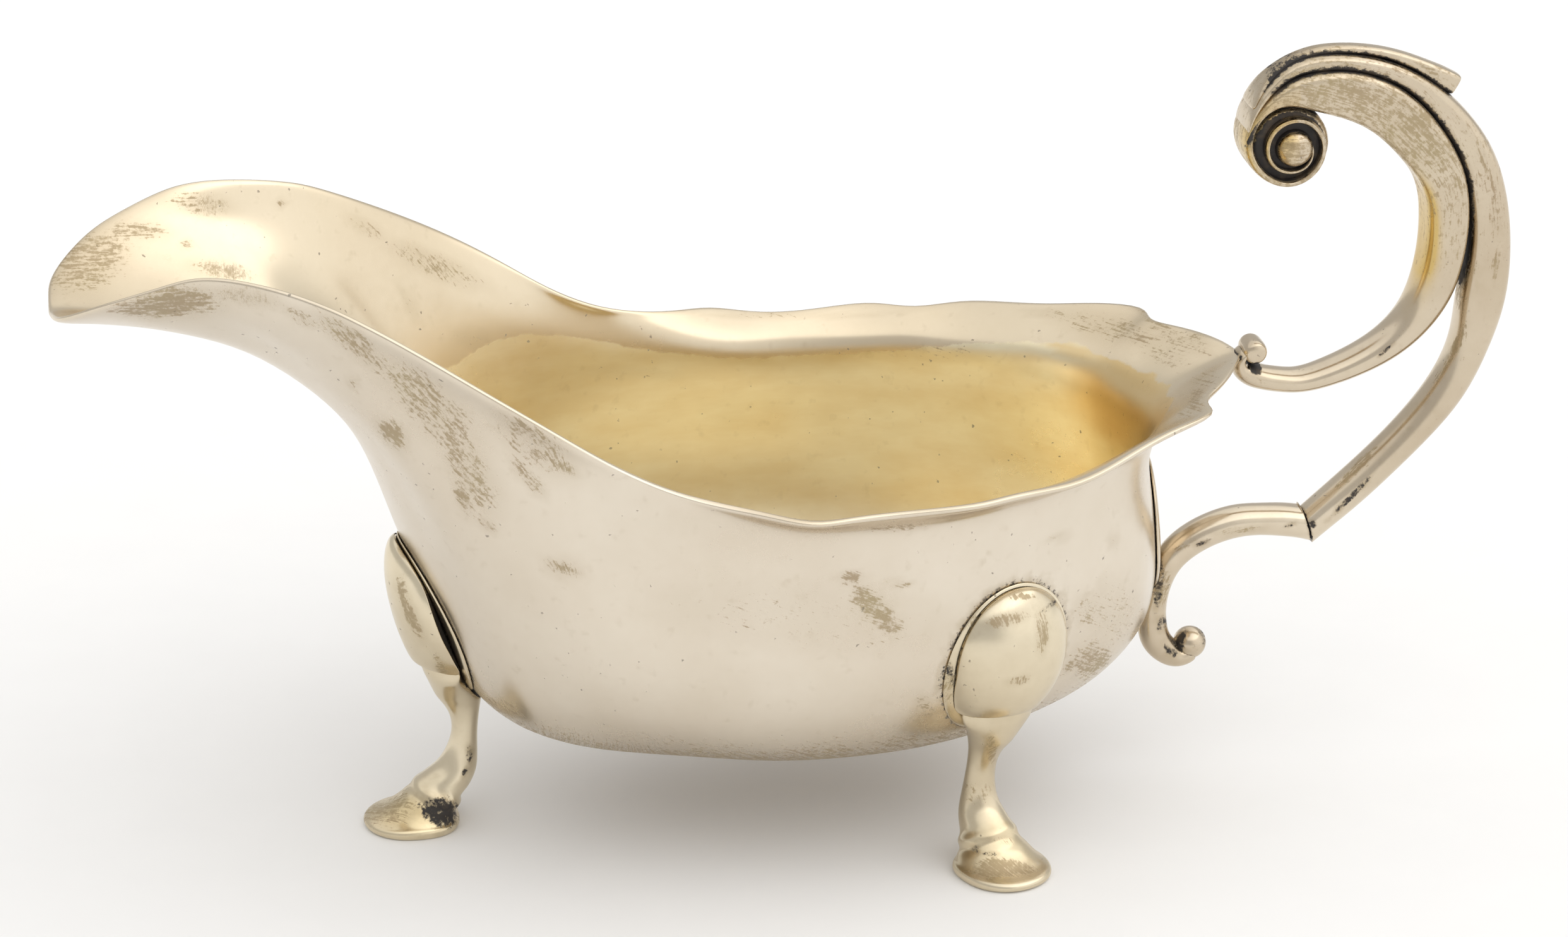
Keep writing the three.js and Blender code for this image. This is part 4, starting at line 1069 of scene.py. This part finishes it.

# %% [markdown]
# ## Patches
# Where the cloth missed, tarnish stays: at the lip, beside the spout, in a few patches on the body and
# on the knees. Each patch is an oval laid at one spot of the photograph, with a mirrored, shifted twin
# on the side that isn't seen. Black marks and golden stains are laid in the same way. Some golden
# stains are painted light: a glint on the handle's inner face, and upright reflection bands in the
# deeper gold at the rear of the wash.

# %% Patches of tarnish
PATCHES = [  # middle across and down in the photograph, half length, half width, slant, how dense
    (140, 415, 84, 58, -35, 0.6), (215, 365, 62, 16, 2, 0.58), (317, 322, 62, 22, 8, 0.56),
    (298, 387, 16, 6, 0, 0.6), (354, 428, 62, 18, 10, 0.54), (262, 482, 100, 26, -7, 0.68),
    (385, 470, 70, 18, 8, 0.52), (478, 503, 36, 12, 30, 0.55), (560, 540, 90, 22, 38, 0.56),
    (680, 640, 120, 44, 47, 0.57), (745, 745, 86, 36, 62, 0.57), (733, 789, 30, 13, 70, 0.62),
    (772, 835, 22, 8, 35, 0.66), (845, 700, 76, 32, 36, 0.56), (838, 758, 42, 12, 50, 0.66),
    (894, 740, 32, 12, 30, 0.64), (621, 689, 34, 20, 42, 0.68), (559, 608, 12, 12, 0, 0.5),
    (892, 900, 34, 14, 14, 0.68), (1347, 915, 26, 12, 0, 0.6), (1391, 969, 62, 24, 45, 0.66),
    (1428, 925, 26, 7, 5, 0.6), (1422, 835, 66, 7, -4, 0.56), (1677, 851, 22, 7, -10, 0.55),
    (1720, 969, 22, 30, 0, 0.5), (1760, 520, 90, 26, 12, 0.5), (1850, 560, 50, 30, 30, 0.5),
    (1500, 1090, 40, 26, 0, 0.54), (1280, 980, 260, 60, 4, 0.36), (1733, 1050, 40, 30, -35, 0.62),
    (1695, 1056, 18, 8, -30, 0.66), (795, 1118, 42, 10, 24, 0.6), (1466, 1124, 28, 18, 60, 0.55),
    (1764, 857, 9, 16, 0, 0.5), (1480, 560, 110, 16, 2, 0.4), (1677, 500, 60, 10, 8, 0.52),
    (1800, 535, 66, 12, 14, 0.54), (1894, 633, 14, 30, 10, 0.62), (1912, 600, 22, 14, 0, 0.55),
    (646, 478, 38, 10, 62, 0.44), (445, 322, 10, 8, 0, 0.6), (690, 420, 90, 22, 24, 0.5),
    (580, 360, 40, 14, 30, 0.5), (745, 534, 34, 18, 10, 0.38), (1250, 500, 200, 6, 0, 0.42),
    (2370, 330, 16, 60, 0, 0.5), (1888, 1030, 16, 16, 0, 0.45), (1000, 590, 90, 12, 3, 0.36),
    (1596, 981, 42, 13, -12, 0.66), (1652, 1000, 13, 44, 0, 0.6), (1545, 985, 26, 14, 0, 0.6),
    (1614, 1078, 24, 9, -14, 0.6), (1620, 945, 24, 7, 0, 0.7), (646, 965, 66, 12, 68, 0.66),
    (700, 1060, 30, 9, 60, 0.6), (2130, 165, 100, 34, 8, 0.6), (2150, 150, 96, 22, 14, 0.64),
    (2250, 225, 84, 40, 46, 0.62), (2310, 330, 44, 16, 80, 0.5), (2315, 440, 40, 12, -70, 0.6),
    (2240, 120, 70, 5, 22, 0.62), (2260, 108, 30, 7, 28, 0.62), (2355, 270, 60, 5, 68, 0.6),
    (2370, 420, 40, 6, -84, 0.6), (2150, 740, 60, 9, -46, 0.62), (2300, 560, 70, 8, -62, 0.6),
    (1880, 860, 40, 10, -30, 0.5), (1960, 840, 60, 6, -6, 0.5), (1842, 930, 14, 40, 8, 0.62),
    (1572, 1190, 9, 26, 0, 0.6), (1590, 1330, 30, 8, 10, 0.5), (705, 1275, 20, 20, 0, 0.5),
    (1590, 1374, 62, 20, 4, 0.68), (1550, 1255, 34, 24, 0, 0.5), (612, 1284, 56, 24, -25, 0.58),
    (1800, 1000, 40, 60, 0, 0.42),
]
BLACK_MARKS = [
    (701, 1287, 36, 26, 12, 0.68), (744, 1195, 6, 18, 0, 0.55), (736, 1222, 5, 12, 20, 0.55),
    (1868, 1018, 8, 22, 10, 0.75), (1836, 930, 8, 42, 6, 0.55), (1848, 985, 8, 20, 20, 0.5),
    (2080, 830, 7, 7, 0, 0.7), (2142, 785, 52, 5, -45, 0.6), (1907, 859, 15, 4, -22, 0.6),
    (2043, 832, 10, 4, -20, 0.6), (1545, 1345, 8, 8, 0, 0.6), (2195, 555, 18, 4, -40, 0.6),
    (1562, 885, 4, 4, 0, 0.7), (1672, 950, 4, 9, 0, 0.55), (1504, 1065, 7, 26, -8, 0.5),
    (1570, 1352, 18, 5, 0, 0.5),
]
# Golden stains: at the rear of the wash deeper gold shaped as painted reflection bands, and on the handle's
# inner face a painted glint.
GOLD_STAINS_AND_GLINTS = [
    (1785, 628, 104, 92, 90, 1.8), (1800, 598, 90, 34, 38, 1.9), (1700, 555, 60, 16, 20, 1.7),
    (1975, 225, 26, 60, 20, 0.9), (2256, 345, 64, 22, 86, 1.6), (640, 1290, 50, 30, 0, 0.4),
    (1590, 1340, 60, 40, 0, 0.2),
]
print("patches, black marks and golden stains:", len(PATCHES), len(BLACK_MARKS), len(GOLD_STAINS_AND_GLINTS))

# %% [markdown]
# ## Laying the patches
# A thin even film lies under the patches, thicker on the handle's crown, where fingers don't rub, and
# under the bowl, where it grows towards the bottom as tarnish and painted shade. A patch fades round
# its edge, and the noise of the finish breaks it up.

# %% Patches laid on the pieces
TWIN_SHIFT, TWIN_SHARE = Vector((3.0, 0, -2.0)) * MM, 0.95
PATCH_DEPTH, PATCH_EDGE = 6 * MM, 2.5
FILM_HEIGHTS, PLAIN_FILM = (62, 84), (0.15, 0.15)  # the film's density grows between these heights
BASE_FILM = {"inner_scroll": (0.3, 0.56), "outer_scroll": (0.3, 0.44), "thumb_leaf": (0.4, 0.44)}
BOWL_FILM, UNDER_FILM_AND_SHADE, UNDER_BELOW, UNDER_FADE = 0.1, 0.7, 27, 12
tarnish_and_shade = {name: np.interp(places[name][:, 2] / MM, FILM_HEIGHTS, BASE_FILM.get(name, PLAIN_FILM))
           for name in pieces}
oxide_marks = {name: np.zeros(len(places[name])) for name in pieces}
stain_and_glint_marks = {name: np.zeros(len(places[name])) for name in pieces}
# Tarnish and painted shade grow towards the bottom of the bowl's outside.
film_and_shade_under_bowl = np.clip((UNDER_BELOW - bowl_places[:, 2]) / UNDER_FADE, 0, 1) * (inside < 0.5)
tarnish_and_shade["bowl_shell"] = np.maximum(BOWL_FILM, UNDER_FILM_AND_SHADE * film_and_shade_under_bowl)


def on_plane(across, down, spot, normal):
    eye, ray = line_of_sight(across, down)
    return eye + ray * ((spot - eye).dot(normal) / ray.dot(normal))


def lay_patch(layer, name, middle, normal, long_half, short_half, dense):
    """Adds an oval patch to a layer, dense in its middle and fading round its edge."""
    axes = np.array([long_half[:], short_half[:]]).T
    away = places[name] - np.array(middle[:])
    uv = away @ np.linalg.pinv(axes).T
    off = np.linalg.norm(away - uv @ axes.T, axis=1)
    facing = np.clip(normals[name] @ np.array(normal[:]) * 2, 0, 1)
    fade = dense / (1 + np.sum(uv ** 2, axis=1) ** PATCH_EDGE) * (off < PATCH_DEPTH) * facing
    layer[name] = np.maximum(layer[name], fade)


def paint_mark(layer, across, down, long_pixels, short_pixels, slant, dense):
    """Lays a patch on the piece that is seen at a pixel, and its twin on the other side."""
    name, spot, normal = seen_at(across, down)
    if name is None:
        print("no piece under the patch at", across, down)
        return
    cosine, sine = math.cos(math.radians(slant)), math.sin(math.radians(slant))
    long_half = on_plane(across + long_pixels * cosine, down + long_pixels * sine, spot, normal) - spot
    short_half = on_plane(across - short_pixels * sine, down + short_pixels * cosine, spot, normal) - spot
    lay_patch(layer, name, spot, normal, long_half, short_half, dense)
    flip = Vector((1, -1, 1))
    twin = name.replace("left", "right")
    lay_patch(layer, twin, spot * flip + TWIN_SHIFT, normal * flip, long_half * flip, short_half * flip,
              dense * TWIN_SHARE)


for layer, marks in ((tarnish_and_shade, PATCHES), (oxide_marks, BLACK_MARKS), (stain_and_glint_marks, GOLD_STAINS_AND_GLINTS)):
    for mark in marks:
        paint_mark(layer, *mark)
for name, piece in pieces.items():
    lay_on(piece.data, "tarnish_and_shade", tarnish_and_shade[name])
    lay_on(piece.data, "oxide", np.maximum(value_of(piece, "oxide"), oxide_marks[name]))
    lay_on(piece.data, "stain_and_reflection", np.maximum(value_of(piece, "stain_and_reflection"), np.minimum(stain_and_glint_marks[name], 2)))
    print(name, "is tarnished on", int((tarnish_and_shade[name] > 0.45).sum()), "points")


# %% Size of the dressed boat
def write_size():
    plain = [[list(corner) for corner in box] for box in (cad_box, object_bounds())]
    print("dressed box in mm", [[round(v / MM, 1) for v in corner] for corner in plain[1]])


write_size()
